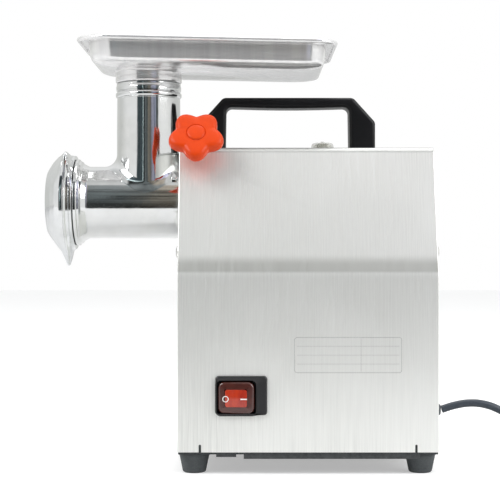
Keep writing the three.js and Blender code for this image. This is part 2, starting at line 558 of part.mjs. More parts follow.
function makeHead() {
  const h = HEAD;
  const line = frame(grinder, 0, 0, AXIS_Z);
  const up = h.neckTop - AXIS_Z;
  const barrel = turned("x", [
    [h.mouth, 0], [h.mouth, h.thread], [h.flange0, h.thread], [h.flange0, h.flange],
    [h.flange1, h.flange], [h.taper, h.radius], [h.rear, h.radius], [h.rear, 0],
  ], FINE);
  const neck = turned("z", [
    [0, 0], [0, h.neckRadius], [28, h.neckRadius + 0.9], [38, h.neckRadius],
    [up - 12, h.neckRadius], [up - 10.5, h.neckRadius + 0.6], [up - 8, h.neckRadius],
    [up, h.neckRadius - 0.3], [up, 0],
  ], FINE).translate(h.neckX, 0, 0);
  const lug = box(-54, -48.2, -3, 3, 28, 34).rotateX(rad(50));
  const body = cut(join(barrel, neck, lug),
    rod("x", h.mouth + 1, h.backWall, h.bore, FINE),
    rod("x", h.mouth - 1, h.mouth + 3, PLATE.radius + GAP, FINE),
    rod("x", h.backWall - 1, h.rear + 1, 11 + GAP, MEDIUM),
    rod("z", 0, up + 1, h.neckBore, FINE).translate(h.neckX, 0, 0),
    rod("x", h.mouth - 1, h.mouth + 9, 1.5 + GAP, SMALL).translate(0, 0, 31.6),
  );
  place(line, "head_barrel", body, FINISH.castAluminium);
  place(line, "plate_pin", rod("x", h.mouth - 2, h.mouth + 8.5, 1.5, SMALL), FINISH.gearSteel)
    .position.z = 31.6;
  place(line, "auger_washer", tube("x", AUGER.rear + GAP, h.backWall - GAP, 20, 11 + GAP, MEDIUM),
    FINISH.whitePlastic);

  const half = AUGER.square / 2;
  const auger = join(augerScrew(),
    rod("x", PLATE.x0 + 1, AUGER.front + 1, AUGER.pin, SMALL),
    box(KNIFE.x0 - 0.2, AUGER.front + 1, -half, half, -half, half),
    rod("x", AUGER.rear - 2.5, AUGER.rear, 18, MEDIUM),
    rod("x", AUGER.rear - 1, h.rear - 0.5, 11, MEDIUM),
    box(h.rear - 1, h.rear + 12, -half, half, -half, half));
  place(line, "auger", auger, FINISH.roughCasting);

  const blade = rounded([[-4, 7, 0], [4.5, 7, 0], [3.2, KNIFE.radius, 1], [-2.6, KNIFE.radius, 1]], 2);
  const blades = [0, 1, 2, 3].map((i) => prismX(blade, KNIFE.x0, KNIFE.x1).rotateX((i * Math.PI) / 2));
  const seat = half + GAP;
  place(line, "cutting_knife",
    cut(join(rod("x", KNIFE.x0, KNIFE.x1, 11, COARSE), ...blades),
      box(KNIFE.x0 - 1, KNIFE.x1 + 1, -seat, seat, -seat, seat)), FINISH.gearSteel);

  const holes = PLATE.holes.flatMap(([count, radius]) => Array.from({ length: count }, (_, i) =>
    rod("x", PLATE.x0 - 1, PLATE.x1 + 1, PLATE.hole, 6)
      .translate(0, 0, radius).rotateX(((i + 0.5) * 2 * Math.PI) / count)));
  place(line, "hole_plate",
    cut(rod("x", PLATE.x0, PLATE.x1, PLATE.radius, FINE),
      rod("x", PLATE.x0 - 1, PLATE.x1 + 1, AUGER.pin + 2 * GAP, SMALL),
      rod("x", PLATE.x0 - 1, PLATE.x1 + 1, 2, SMALL).translate(0, 0, 31.6), ...holes),
    FINISH.polishedSteel);

  // The nut's three finger lobes: one hangs down and one stands up on the near side.
  const lobed = polar((angle) => {
    const near = Math.cos(3 * (angle + rad(NUT.lobeTurn)));
    return NUT.body + (NUT.lobe - NUT.body) * Math.max(0, near) ** 1.6;
  }, 36);
  const shell = turned("x", [
    [NUT.rear, h.thread + 2 * GAP], [NUT.rear, 40.7], [-143, 40.7], [-145, 42.3], [-147.5, 42.4],
    [-152.3, 39.6], [-156.6, 35], [-160.2, 29.5], [-161.6, 27], [-161.6, 25],
    [-160, NUT.opening], [PLATE.x0 - GAP, NUT.opening], [PLATE.x0 - GAP, NUT.pocket],
    [h.mouth - GAP, NUT.pocket], [h.mouth - GAP, h.thread + 2 * GAP],
  ], FINE);
  place(line, "ring_nut",
    join(shell, cut(prismX(lobed, NUT.lobe0, NUT.lobe1), rod("x", -155, -135, 39, FINE))),
    FINISH.polishedSteel);
}

// ---------------------------------------------------------------- feed tray

// A solid with the tray's rounded outline at levels [z, inset, inset at the head's end]. The
// levels fall towards the rear by the tray's slope.
function trayBlock(levels) {
  const t = TRAY;
  const outline = rounded([
    [-t.ahead, -t.half, t.headCorner], [t.behind, -t.half, t.rearCorner],
    [t.behind, t.half, t.rearCorner], [-t.ahead, t.half, t.headCorner],
  ], 3);
  const block = new THREE.ExtrudeGeometry(new THREE.Shape(outline), {
    depth: 1, steps: levels.length - 1, bevelEnabled: false,
  });
  const middle = (t.behind - t.ahead) / 2;
  const halfLength = (t.behind + t.ahead) / 2;
  const corners = block.attributes.position;
  for (let i = 0; i < corners.count; i += 1) {
    const [z, inset, nose = inset] = levels[Math.round(corners.getZ(i) * (levels.length - 1))];
    const reach = corners.getX(i) - middle;
    const x = middle + reach * (1 - (reach < 0 ? nose : inset) / halfLength);
    corners.setXYZ(i, x, corners.getY(i) * (1 - inset / t.half), z - x * t.slope);
  }
  return block;
}

function makeTray() {
  const t = TRAY;
  const group = frame(grinder, HEAD.neckX, 0, 0);
  const wall = [
    [t.bottom, 28, 29], [t.bottom + 1.6, 17.5, 18.8], [t.bottom + 3.2, 12.8, 14.4],
    [t.bottom + 6, 10.8, 11.5], [t.bottom + 11, 10.2, 10.1],
  ];
  const outer = trayBlock([...wall, [t.rim - t.sheet, t.flange]]);
  const flange = trayBlock([[t.rim - t.lip, 0], [t.rim, 0.3]]);
  const underFlange = trayBlock([[t.rim - t.lip - 1, t.sheet], [t.rim - t.sheet, t.sheet]]);
  const step = 0.9 * t.sheet;
  const lifted = wall.map(([z, inset, nose]) => [z + t.sheet, inset + step, nose + step]);
  const inner = trayBlock([...lifted, [t.rim + 1, t.flange + t.sheet]]);
  const seat = HEAD.neckTop + GAP;
  const spout = turned("z", [
    [t.insertEnd, 0], [t.insertEnd, t.insert], [seat, t.insert], [seat, t.spout - 1],
    [seat + 1, t.spout], [t.bottom + 1, t.spout], [t.bottom + 1, 0],
  ], FINE);
  const shell = cut(join(cut(flange, underFlange), outer, spout), inner,
    rod("z", t.insertEnd - 1, t.bottom + 5, t.spoutBore, FINE));
  place(group, "feed_tray", shell, FINISH.polishedSteel);
}

// ---------------------------------------------------------------- clamp screw

function makeClamp() {
  const group = frame(grinder, CLAMP.x, 0, AXIS_Z);
  group.rotation.x = rad(90 - CLAMP.elevation);
  const bore = CLAMP.stud + GAP;
  place(group, "clamp_washer", tube("z", CLAMP.washer, CLAMP.washer + 1.6, 8, bore, COARSE),
    FINISH.gearSteel);
  place(group, "clamp_stud", rod("z", CLAMP.tip, 97, CLAMP.stud, COARSE), FINISH.gearSteel);
  // One lobe points straight down the slope of the knob's face.
  const star = polar((angle) => {
    const lobe = (1 + Math.cos(KNOB.lobes * (angle + Math.PI / 2))) / 2;
    return KNOB.waist + (KNOB.tip - KNOB.waist) * lobe ** 0.8;
  }, 40);
  const knob = join(
    prismZ(star, KNOB.back, KNOB.front),
    turned("z", [
      [CLAMP.hub, 0], [CLAMP.hub, KNOB.hub - 1], [KNOB.back + 1, KNOB.hub],
      [KNOB.front - 1, KNOB.hub], [KNOB.boss - 1.5, 7.6], [KNOB.boss, 6], [KNOB.boss, 0],
    ]));
  place(group, "clamp_knob", cut(knob, rod("z", CLAMP.hub - 1, 97 + GAP, bore, COARSE)),
    FINISH.orangePlastic);
}

// ---------------------------------------------------------------- mains cord

function cordTube(points) {
  const path = new THREE.CatmullRomCurve3(points.map(([x, y, z]) => new THREE.Vector3(x, y, z)));
  const round = polar(() => CORD.radius, 8);
  const steps = Math.max(2, Math.round(path.getLength() / (5 * CORD.radius)));
  return new THREE.ExtrudeGeometry(new THREE.Shape(round), { steps, extrudePath: path });
}

function makeCord() {
  const relief = turned("x", [
    [150, 0], [150, 9], [CASE.rear - CASE.sheet - 2 * GAP, 9], [CASE.rear - CASE.sheet - 2 * GAP, 7],
    [CASE.rear, 7], [CASE.rear, 9.5], [CASE.rear + 4, 8.6], [CORD.reliefEnd, 4.8],
    [CORD.reliefEnd, 0],
  ], COARSE);
  place(grinder, "strain_relief", relief, FINISH.blackPlastic)
    .position.set(0, CORD.exitY, CORD.exitZ);
  place(grinder, "cord", cordTube(CORD_ROUTE), FINISH.cordBlue);
  place(grinder, "cord_coil", tube("z", 0.1, COIL.height, COIL.outer, COIL.inner, FINE),
    FINISH.cordBlue).position.set(COIL.x, COIL.y, 0);

  // The tail leaves the coil along its tangent and runs into the plug.
  const angle = rad(TAIL.angle);
  const leave = point(COIL.x, COIL.y).add(point(TAIL.radius, 0).rotateAround(point(0, 0), angle));
  const heading = angle - Math.PI / 2;
  const along = (distance) => {
    const spot = point(distance, 0).rotateAround(point(0, 0), heading).add(leave);
    return [spot.x, spot.y, TAIL.z];
  };
  place(grinder, "cord_tail", cordTube([TAIL.start, (TAIL.start + TAIL.end) / 2, TAIL.end].map(along)),
    FINISH.cordBlue);
  const plug = frame(grinder, ...along(TAIL.end + GAP));
  plug.rotation.z = heading;
  const face = PLUG.sleeve + PLUG.body;
  const pinAt = (side, from, to, radius) => rod("x", from, to, radius, SMALL)
    .translate(0, side * PLUG.pinSpacing, 0);
  const shell = turned("x", [
    [0, 0], [0, 5], [PLUG.sleeve, 7], [PLUG.sleeve + 6, PLUG.radius - 2],
    [PLUG.sleeve + 11, PLUG.radius], [face, PLUG.radius], [face, 0],
  ]);
  place(plug, "plug_body",
    cut(shell, ...[-1, 1].map((side) => pinAt(side, face - 8, face + 1, PLUG.pin + GAP))),
    FINISH.blackPlastic);
  for (const [name, side] of [["plug_pin_left", 1], ["plug_pin_right", -1]]) {
    place(plug, name, pinAt(side, face - 8 + GAP, face + PLUG.pinLength, PLUG.pin), FINISH.nickel);
  }
}

makeCasing();
makeBase();
makeHandle();
makeSwitch();
makeReset();
makeGearbox();
makeMotor();
makeHead();
makeTray();
makeClamp();
makeCord();

export default grinder;
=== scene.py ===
import json
import math

import bmesh
import bpy
from mathutils import Matrix, Vector


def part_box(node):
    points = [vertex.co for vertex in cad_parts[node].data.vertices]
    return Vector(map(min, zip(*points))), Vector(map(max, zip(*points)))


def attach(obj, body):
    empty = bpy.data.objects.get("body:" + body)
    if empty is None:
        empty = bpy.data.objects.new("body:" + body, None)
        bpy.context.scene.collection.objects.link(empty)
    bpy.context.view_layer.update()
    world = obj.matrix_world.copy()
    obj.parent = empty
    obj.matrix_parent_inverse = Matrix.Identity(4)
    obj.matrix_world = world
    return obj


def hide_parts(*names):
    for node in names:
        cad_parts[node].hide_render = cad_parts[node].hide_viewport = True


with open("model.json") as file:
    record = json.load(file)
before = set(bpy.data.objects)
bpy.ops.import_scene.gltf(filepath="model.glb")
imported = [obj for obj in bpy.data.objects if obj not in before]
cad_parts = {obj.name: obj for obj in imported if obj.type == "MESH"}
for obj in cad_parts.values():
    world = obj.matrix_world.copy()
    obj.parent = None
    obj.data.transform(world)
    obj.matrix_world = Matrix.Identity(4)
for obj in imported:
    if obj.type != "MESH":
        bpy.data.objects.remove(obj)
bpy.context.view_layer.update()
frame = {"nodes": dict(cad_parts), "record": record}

MM = 0.001
TURN = 2 * math.pi
NODES = frame["nodes"]
SLOTS = {row["node"]: row["material_slot"] for row in frame["record"]["subparts"]}
AXIS_Z = sum(p.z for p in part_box("auger_washer")) / 2 / MM
PAINT = {}


def limits(node):
    """A CAD node's lowest and highest corners, in mm."""
    return [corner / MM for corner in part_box(node)]


CASE_LOW, CASE_HIGH = limits("casing_shell")


# ---------------------------------------------------------------- outlines and solids
def fillet(corners, steps=6, closed=True):
    """An outline through (u, v, radius) corners, with an arc at each corner."""
    points = []
    for i, (u, v, radius) in enumerate(corners):
        if radius <= 0 or (not closed and i in (0, len(corners) - 1)):
            points.append((u, v))
            continue
        here = Vector((u, v))
        before = (Vector(corners[i - 1][:2]) - here).normalized()
        after = (Vector(corners[(i + 1) % len(corners)][:2]) - here).normalized()
        half = before.angle(after) / 2
        centre = here + (before + after).normalized() * radius / math.sin(half)
        first = here + before * radius / math.tan(half) - centre
        last = here + after * radius / math.tan(half) - centre
        sweep = math.atan2(first.x * last.y - first.y * last.x, first.dot(last))
        for k in range(steps + 1):
            angle = math.atan2(first.y, first.x) + sweep * k / steps
            points.append((centre.x + radius * math.cos(angle), centre.y + radius * math.sin(angle)))
    return points


def block(half_u, half_v, radius, middle=(0, 0), steps=8):
    """A rounded rectangle."""
    u, v = middle
    signs = [(-1, -1), (1, -1), (1, 1), (-1, 1)]
    return fillet([(u + a * half_u, v + b * half_v, radius) for a, b in signs], steps)


def inset(outline, distance):
    """The closed outline moved inwards by a distance, or outwards if it is negative."""
    if abs(distance) < 1e-6:
        return outline
    count = len(outline)
    area = sum(outline[i - 1][0] * outline[i][1] - outline[i][0] * outline[i - 1][1] for i in range(count))
    side = 1 if area > 0 else -1
    moved = []
    for i, spot in enumerate(outline):
        here = Vector(spot)
        before = (here - Vector(outline[i - 1])).normalized()
        after = (Vector(outline[(i + 1) % count]) - here).normalized()
        along = (before + after).normalized()
        reach = distance / max(0.5, along.dot(after))
        moved.append((here.x - side * along.y * reach, here.y + side * along.x * reach))
    return moved


def smooth_line(points, steps=6):
    """A smooth open line through the points, a Catmull-Rom spline."""
    line = []
    for i in range(len(points) - 1):
        a, b, c, d = (Vector(points[max(0, min(len(points) - 1, i + k))]) for k in (-1, 0, 1, 2))
        for k in range(steps):
            t = k / steps
            bend = (2 * a - 5 * b + 4 * c - d) * t * t + (3 * b - a - 3 * c + d) * t ** 3
            line.append(tuple((2 * b + (c - a) * t + bend) / 2))
    return line + [tuple(points[-1])]


def skin(bm, rows, ring=True, loop=False, caps=True):
    """Faces over rows of points. ring closes each row, and loop joins the last row to the first."""
    table = [[bm.verts.new(Vector(p) * MM) for p in row] for row in rows]
    count = len(table[0])
    for i in range(len(table) if loop else len(table) - 1):
        near, far = table[i], table[(i + 1) % len(table)]
        for j in range(count if ring else count - 1):
            k = (j + 1) % count
            bm.faces.new((near[j], near[k], far[k], far[j]))
    if caps and not loop:
        bm.faces.new(table[0])
        bm.faces.new(list(reversed(table[-1])))


def placed(axis, along, u, v):
    """The point at u, v across an axis."""
    return {"x": (along, u, v), "y": (u, along, v), "z": (u, v, along)}[axis]


def around(axis, along, radius, steps, middle=(0, 0)):
    """A ring of points about an axis. A number or a function of the angle gives the radius."""
    ring = []
    for k in range(steps):
        angle = TURN * k / steps
        r = radius(angle) if callable(radius) else radius
        u, v = middle[0] + r * math.cos(angle), middle[1] + r * math.sin(angle)
        ring.append(placed(axis, along, u, v))
    return ring


def turned(bm, axis, profile, steps=96, middle=(0, 0)):
    """A turned solid. A profile that stays off the axis closes on itself."""
    hollow = profile[0][1] > 0 and profile[-1][1] > 0
    rows = [around(axis, along, radius, steps, middle) for along, radius in profile]
    skin(bm, rows, loop=hollow, caps=False)


def rod(bm, axis, low, high, radius, steps, middle=(0, 0)):
    """A plain round solid, which cuts a hole."""
    turned(bm, axis, [(low, 0), (low, radius), (high, radius), (high, 0)], steps, middle)


def prism(bm, axis, outline, low, high, edge=0.0, steps=4):
    """A solid of one outline along an axis, with rounded edges at both ends."""
    arcs = [math.pi / 2 * k / steps for k in range(steps + 1)] if edge > 0 else [math.pi / 2]
    levels = [(low + edge * (1 - math.cos(a)), edge * (1 - math.sin(a))) for a in arcs]
    levels += [(low + high - along, depth) for along, depth in reversed(levels)]
    rows = []
    for along, depth in levels:
        rows.append([placed(axis, along, u, v) for u, v in inset(outline, depth)])
    skin(bm, rows)


def tidy(bm):
    """Merges what coincides, drops flat slivers and turns the faces outwards."""
    bmesh.ops.remove_doubles(bm, verts=bm.verts, dist=1e-6)
    bmesh.ops.dissolve_degenerate(bm, edges=bm.edges, dist=1e-7)
    bmesh.ops.recalc_face_normals(bm, faces=bm.faces)


def piece(name, bm, paint, body, replaced=(), matrix=None, sharp=32, bevel=0.0):
    """A finished piece from bmesh data: it rides on its body and stands for its CAD nodes."""
    tidy(bm)
    if matrix is not None:
        bmesh.ops.transform(bm, matrix=matrix, verts=bm.verts)
    mesh = bpy.data.meshes.new(name)
    bm.to_mesh(mesh)
    bm.free()
    obj = bpy.data.objects.new(name, mesh)
    bpy.context.scene.collection.objects.link(obj)
    mesh.materials.append(PAINT[paint])
    mesh.polygons.foreach_set("use_smooth", [True] * len(mesh.polygons))
    mesh.set_sharp_from_angle(angle=math.radians(sharp))
    if bevel:
        add_bevel(obj, bevel)
    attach(obj, body)
    if replaced:
        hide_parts(*replaced)
    return obj


def add_bevel(obj, width, segments=2):
    bevel = obj.modifiers.new("edges", "BEVEL")
    bevel.width = width * MM
    bevel.segments = segments
    bevel.limit_method = "ANGLE"
    bevel.angle_limit = math.radians(35)
    bevel.use_clamp_overlap = True


def carve(bm, *cutters):
    """bm with the cutters' solids taken out of it, as new bmesh data."""
    made = []
    for data in (bm, *cutters):
        tidy(data)
        mesh = bpy.data.meshes.new("work")
        data.to_mesh(mesh)
        data.free()
        made.append(bpy.data.objects.new("work", mesh))
        bpy.context.scene.collection.objects.link(made[-1])
    for tool in made[1:]:
        cut = made[0].modifiers.new("cut", "BOOLEAN")
        cut.operation, cut.solver, cut.object = "DIFFERENCE", "EXACT", tool
    depsgraph = bpy.context.evaluated_depsgraph_get()
    result = bmesh.new()
    result.from_mesh(bpy.data.meshes.new_from_object(made[0].evaluated_get(depsgraph)))
    for obj in made:
        bpy.data.objects.remove(obj)
    return result


def box(bm, x0, x1, y0, y1, z0, z1):
    skin(bm, [[(x0, y0, z), (x1, y0, z), (x1, y1, z), (x0, y1, z)] for z in (z0, z1)])


def new(build=None, *args, **kwargs):
    """New bmesh data, filled by one building function."""
    bm = bmesh.new()
    if build:
        build(bm, *args, **kwargs)
    return bm


# ---------------------------------------------------------------- materials
def fill(tree, node, sockets):
    """Gives a node's sockets a value each, or a link if it is another node's output."""
    for name, value in sockets.items():
        socket = node.inputs[name.replace("_", " ")]
        if isinstance(value, bpy.types.NodeSocket):
            tree.links.new(value, socket)
        else:
            socket.default_value = value


def add_node(tree, kind, **sockets):
    """A new shader node with its sockets filled."""
    node = tree.nodes.new("ShaderNode" + kind)
    fill(tree, node, sockets)
    return node


def noise(tree, place, scale, detail, roughness=0.5):
    return add_node(tree, "TexNoise", Vector=place, Scale=scale, Detail=detail,
                    Roughness=roughness).outputs["Fac"]


def remap(tree, value, low=0.0, high=1.0, least=0.0, most=1.0, kind="LINEAR"):
    """low to high becomes least to most."""
    node = tree.nodes.new("ShaderNodeMapRange")
    node.interpolation_type = kind
    fill(tree, node, dict(Value=value, From_Min=low, From_Max=high, To_Min=least, To_Max=most))
    return node.outputs["Result"]


def mix(tree, share, under, over, kind="MIX"):
    """One colour over another. Each is three numbers or another node's output."""
    node = tree.nodes.new("ShaderNodeMix")
    node.data_type, node.blend_type = "RGBA", kind
    under, over = (c if isinstance(c, bpy.types.NodeSocket) else (*c, 1) for c in (under, over))
    fill(tree, node, dict(Factor=share, A=under, B=over))
    return node.outputs["Result"]


def maths(tree, kind, *values):
    node = tree.nodes.new("ShaderNodeMath")
    node.operation = kind
    for socket, value in zip(node.inputs, values):
        tree.links.new(value, socket)
    return node.outputs[0]


def painted_shade_share(tree, place, heights):
    """How strongly a level band of painted shade shows, fading in and out between four heights in mm."""
    z = add_node(tree, "SeparateXYZ", Vector=place).outputs["Z"]
    fades = [remap(tree, z, start * MM, full * MM, kind="SMOOTHSTEP")
             for start, full in (heights[:2], reversed(heights[2:]))]
    return maths(tree, "MULTIPLY", *fades)


def grain_material(name, base, other, rough, metallic=0.0, stretch=(1, 1, 1), scale=120, bump=0.1,
                   depth=0.1, blotch=None, bands=(), detail=5, **sockets):
    """A material whose colour, gloss and relief follow one grain, in the object's own metres.

    base and other are the grain's two colours, rough its two roughnesses, stretch squeezes the
    grain along the axes, blotch is (scale, colour, share) of a broad soft second tint, and bands
    are (heights, colour) of level bands of painted shade that fade in and out between four heights in mm."""
    material = PAINT[name] = bpy.data.materials.new(name)
    material.use_nodes = True
    tree = material.node_tree
    place = tree.nodes.new("ShaderNodeTexCoord").outputs["Object"]
    squeeze = add_node(tree, "Mapping", Vector=place, Scale=stretch)
    grain = noise(tree, squeeze.outputs["Vector"], scale, detail, 0.6)
    spread = remap(tree, grain, 0.32, 0.68)
    colour = mix(tree, spread, base, other)
    if blotch:
        size, tint, share = blotch
        colour = mix(tree, remap(tree, noise(tree, place, size, 2), 0.4, 0.7, most=share), colour, tint)
    for heights, shade_colour in bands:
        colour = mix(tree, painted_shade_share(tree, place, heights), colour, shade_colour)
    relief = add_node(tree, "Bump", Height=grain, Strength=bump, Distance=depth * MM)
    gloss = remap(tree, spread, least=rough[0], most=rough[1])
    fill(tree, tree.nodes["Principled BSDF"], dict(
        Base_Color=colour, Roughness=gloss, Normal=relief.outputs["Normal"], Metallic=metallic, **sockets))
    return material


def make_materials():
    """One material for each finish. The two colours and roughnesses are the grain's extremes."""
    grain = grain_material
    # The casing's height bands are painted shade. The dark band over the side bend (z 160-177) stands in for
    # a dark reflection there. The two darker bands along the top rounded edge (z 259-271) are painted shade
    # under the handle.
    grain("casing_steel", (0.9, 0.905, 0.87), (0.76, 0.765, 0.735), (0.32, 0.44), metallic=0.64,
          stretch=(22, 0.5, 0.5), scale=45, bump=0.16, depth=0.06, blotch=(9, (0.95, 0.955, 0.925), 0.6),
          bands=[((160.5, 163.5, 167.5, 177), (0.56, 0.565, 0.535)),
                 ((259.2, 260.4, 270, 271), (0.6, 0.605, 0.585)),
                 ((263.1, 263.6, 270, 271), (0.34, 0.345, 0.335))])
    grain("panel_steel", (0.9, 0.905, 0.87), (0.76, 0.765, 0.735), (0.32, 0.44), metallic=0.7,
          stretch=(30, 30, 0.8), scale=60, bump=0.12, depth=0.05)
    grain("dark_sheet", (0.075, 0.08, 0.082), (0.05, 0.054, 0.056), (0.4, 0.6), metallic=0.6, scale=350,
          bump=0.15, depth=0.1)
    grain("foot_rubber", (0.06, 0.068, 0.071), (0.048, 0.055, 0.058), (0.55, 0.75), scale=900, bump=0.35,
          depth=0.15, blotch=(120, (0.08, 0.088, 0.09), 0.5))
    grain("handle_plastic", (0.005, 0.005, 0.006), (0.008, 0.008, 0.009), (0.34, 0.46), scale=1400,
          bump=0.22, depth=0.08, blotch=(60, (0.01, 0.01, 0.011), 0.5), Specular_IOR_Level=0.28)
    grain("fastener_steel", (0.72, 0.72, 0.7), (0.6, 0.6, 0.58), (0.22, 0.34), stretch=(1, 1, 3), scale=500,
          bump=0.1, metallic=1)
    grain("switch_black", (0.01, 0.01, 0.011), (0.016, 0.016, 0.017), (0.28, 0.4), scale=1100, bump=0.15,
          depth=0.06)
    grain("switch_red", (0.048, 0.012, 0.009), (0.07, 0.016, 0.011), (0.16, 0.24), scale=240, bump=0.03,
          Coat_Weight=0.5, Coat_Roughness=0.12)
    grain("switch_window", (0.52, 0.045, 0.012), (0.32, 0.018, 0.008), (0.14, 0.22), stretch=(1, 1, 0.35),
          scale=160, bump=0.03, Coat_Weight=0.5, Coat_Roughness=0.1)
    grain("switch_mark", (0.86, 0.86, 0.84), (0.78, 0.78, 0.75), (0.4, 0.5), scale=900, bump=0.05)
    grain("boot_rubber", (0.8, 0.8, 0.7), (0.72, 0.72, 0.62), (0.2, 0.3), scale=220, bump=0.1, depth=0.2,
          Alpha=0.32)
    grain("gearbox_cast", (0.56, 0.57, 0.58), (0.44, 0.45, 0.46), (0.42, 0.6), metallic=0.9, scale=420,
          bump=0.45, depth=0.3, blotch=(40, (0.36, 0.37, 0.38), 0.4))
    grain("gear_steel", (0.42, 0.42, 0.43), (0.3, 0.3, 0.31), (0.24, 0.4), stretch=(6, 1, 1), scale=260,
          bump=0.15, metallic=1)
    grain("bearing_steel", (0.62, 0.63, 0.64), (0.5, 0.5, 0.52), (0.14, 0.24), stretch=(5, 1, 1), scale=200,
          bump=0.06, metallic=1)
    grain("motor_cast", (0.4, 0.41, 0.42), (0.31, 0.32, 0.33), (0.45, 0.62), metallic=0.8, scale=360,
          bump=0.4, depth=0.25)
    grain("stator_iron", (0.2, 0.2, 0.21), (0.1, 0.1, 0.11), (0.4, 0.6), metallic=0.85,
          stretch=(60, 0.2, 0.2), scale=30, bump=0.5, depth=0.2)
    grain("rotor_iron", (0.26, 0.26, 0.27), (0.13, 0.13, 0.14), (0.35, 0.5), metallic=0.9,
          stretch=(60, 0.2, 0.2), scale=30, bump=0.4, depth=0.2)
    grain("white_plastic", (0.8, 0.79, 0.75), (0.72, 0.71, 0.67), (0.4, 0.55), scale=700, bump=0.15)
    grain("head_alloy", (0.74, 0.745, 0.735), (0.66, 0.665, 0.66), (0.06, 0.13), scale=60, bump=0.16,
          depth=0.4, detail=4, blotch=(35, (0.74, 0.75, 0.76), 0.7), metallic=1)
    grain("auger_iron", (0.55, 0.55, 0.54), (0.42, 0.42, 0.41), (0.3, 0.46), scale=300, bump=0.4, depth=0.3,
          metallic=1)
    grain("knife_steel", (0.66, 0.66, 0.65), (0.54, 0.54, 0.53), (0.2, 0.32), stretch=(1, 4, 1), scale=300,
          bump=0.12, metallic=1)
    grain("plate_steel", (0.72, 0.72, 0.71), (0.62, 0.62, 0.61), (0.18, 0.28), stretch=(1, 8, 1), scale=220,
          bump=0.1, metallic=1)
    grain("nut_alloy", (0.76, 0.77, 0.77), (0.68, 0.69, 0.695), (0.08, 0.15), scale=70, bump=0.1,
          depth=0.35, detail=4, blotch=(40, (0.72, 0.735, 0.75), 0.7), metallic=1)
    grain("tray_steel", (0.9, 0.895, 0.89), (0.76, 0.755, 0.76), (0.13, 0.22), metallic=0.62,
          stretch=(5, 5, 0.06), scale=26, bump=0.012, depth=0.3, detail=3)
    grain("knob_orange", (0.66, 0.052, 0.003), (0.61, 0.046, 0.003), (0.3, 0.4), scale=500, bump=0.08,
          depth=0.1, blotch=(45, (0.73, 0.064, 0.006), 0.6), Specular_IOR_Level=0.22)
    grain("cord_sheath", (0.03, 0.04, 0.055), (0.045, 0.056, 0.072), (0.38, 0.5), scale=900, bump=0.2,
          depth=0.08)
    grain("plug_plastic", (0.022, 0.028, 0.036), (0.034, 0.042, 0.052), (0.36, 0.5), scale=1000, bump=0.2,
          depth=0.08)
    grain("pin_nickel", (0.78, 0.76, 0.72), (0.68, 0.66, 0.62), (0.16, 0.26), stretch=(1, 1, 5), scale=400,
          bump=0.08, metallic=1)
    grain("etch", (0.36, 0.365, 0.35), (0.42, 0.425, 0.41), (0.5, 0.6), metallic=0.3, scale=900, bump=0.1)


make_materials()


# ---------------------------------------------------------------- casing, base and handle
# All sizes are in mm. CASE is the casing's section, and SLOT the slots in its lower edges.
CASE = dict(bottom=18, bend=160, top=264, half_bottom=100, half_top=68, sheet=1.5, bend_radius=30,
            top_radius=6)
SLOT = dict(xs=(-27, 146), width=2, height=6.2)
HANDLE_SCREWS = (-18.5, 110)


def case_section(depth, bottom):
    """The casing's open section, moved inwards by depth."""
    c = CASE
    lean = math.atan2(c["half_bottom"] - c["half_top"], c["top"] - c["bend"])
    side = c["half_bottom"] - depth
    bend = c["bend"] - depth * math.tan(lean / 2)
    shoulder = c["half_top"] - depth * (1 / math.cos(lean) - math.tan(lean))
    radii = (c["bend_radius"] - depth, c["top_radius"] - depth)
    half = [(side, bottom, 0), (side, bend, radii[0]), (shoulder, c["top"] - depth, radii[1])]
    return fillet(half + [(-y, z, r) for y, z, r in reversed(half)], 10, closed=False)


def clamp_matrix():
    """Turns local +Z along the clamp screw, with the origin on the grinding axis."""
    centre = sum((Vector(p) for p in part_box("clamp_washer")), Vector()) / 2
    base = Vector((centre.x, 0, AXIS_Z * MM))
    lean = math.atan2(-(centre - base).y, (centre - base).z)
    return Matrix.Translation(base) @ Matrix.Rotation(lean, 4, "X")


def make_casing():
    x0, x1 = CASE_LOW.x, CASE_HIGH.x
    rows = []
    edge = [(0, 0.5), (0.2, 0.15), (0.5, 0)]
    ends = [(x0 + run, depth) for run, depth in edge] + [(x1 - run, depth) for run, depth in edge[::-1]]
    for x, depth in ends:
        skins = case_section(depth, CASE["bottom"]), case_section(CASE["sheet"] - depth, CASE["bottom"])
        rows.append([(x, y, z) for y, z in skins[0]] + [(x, y, z) for y, z in reversed(skins[1])])
    shell = new(skin, rows)
    low, high = limits("switch_bezel")
    holes = [new(box, low.x + 1, high.x - 1, -CASE["half_bottom"] - 2, -90, low.z + 1, high.z - 1)]
    for x in SLOT["xs"]:
        half = SLOT["width"] / 2
        foot, top = CASE["bottom"] - 1, CASE["bottom"] + SLOT["height"]
        outline = fillet([(x - half, foot, 0), (x + half, foot, 0), (x + half, top, 0.95),
                          (x - half, top, 0.95)])
        holes.append(new(prism, "y", outline, -CASE["half_bottom"] - 2, CASE["half_bottom"] + 2))
    top = CASE["top"]
    holes += [new(rod, "z", top - 5, top + 1, 2.8, 32, (x, 0)) for x in HANDLE_SCREWS]
    reset = sum(p.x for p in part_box("reset_button")) / 2 / MM
    holes.append(new(rod, "z", top - 5, top + 1, 8.3, 48, (reset, 0)))
    stud = new(rod, "z", 62, 95, 6.5, 48)
    bmesh.ops.transform(stud, matrix=clamp_matrix(), verts=stud.verts)
    holes.append(stud)
    piece("casing_skin", carve(shell, *holes), "casing_steel", "machine", ["casing_shell"], sharp=25)


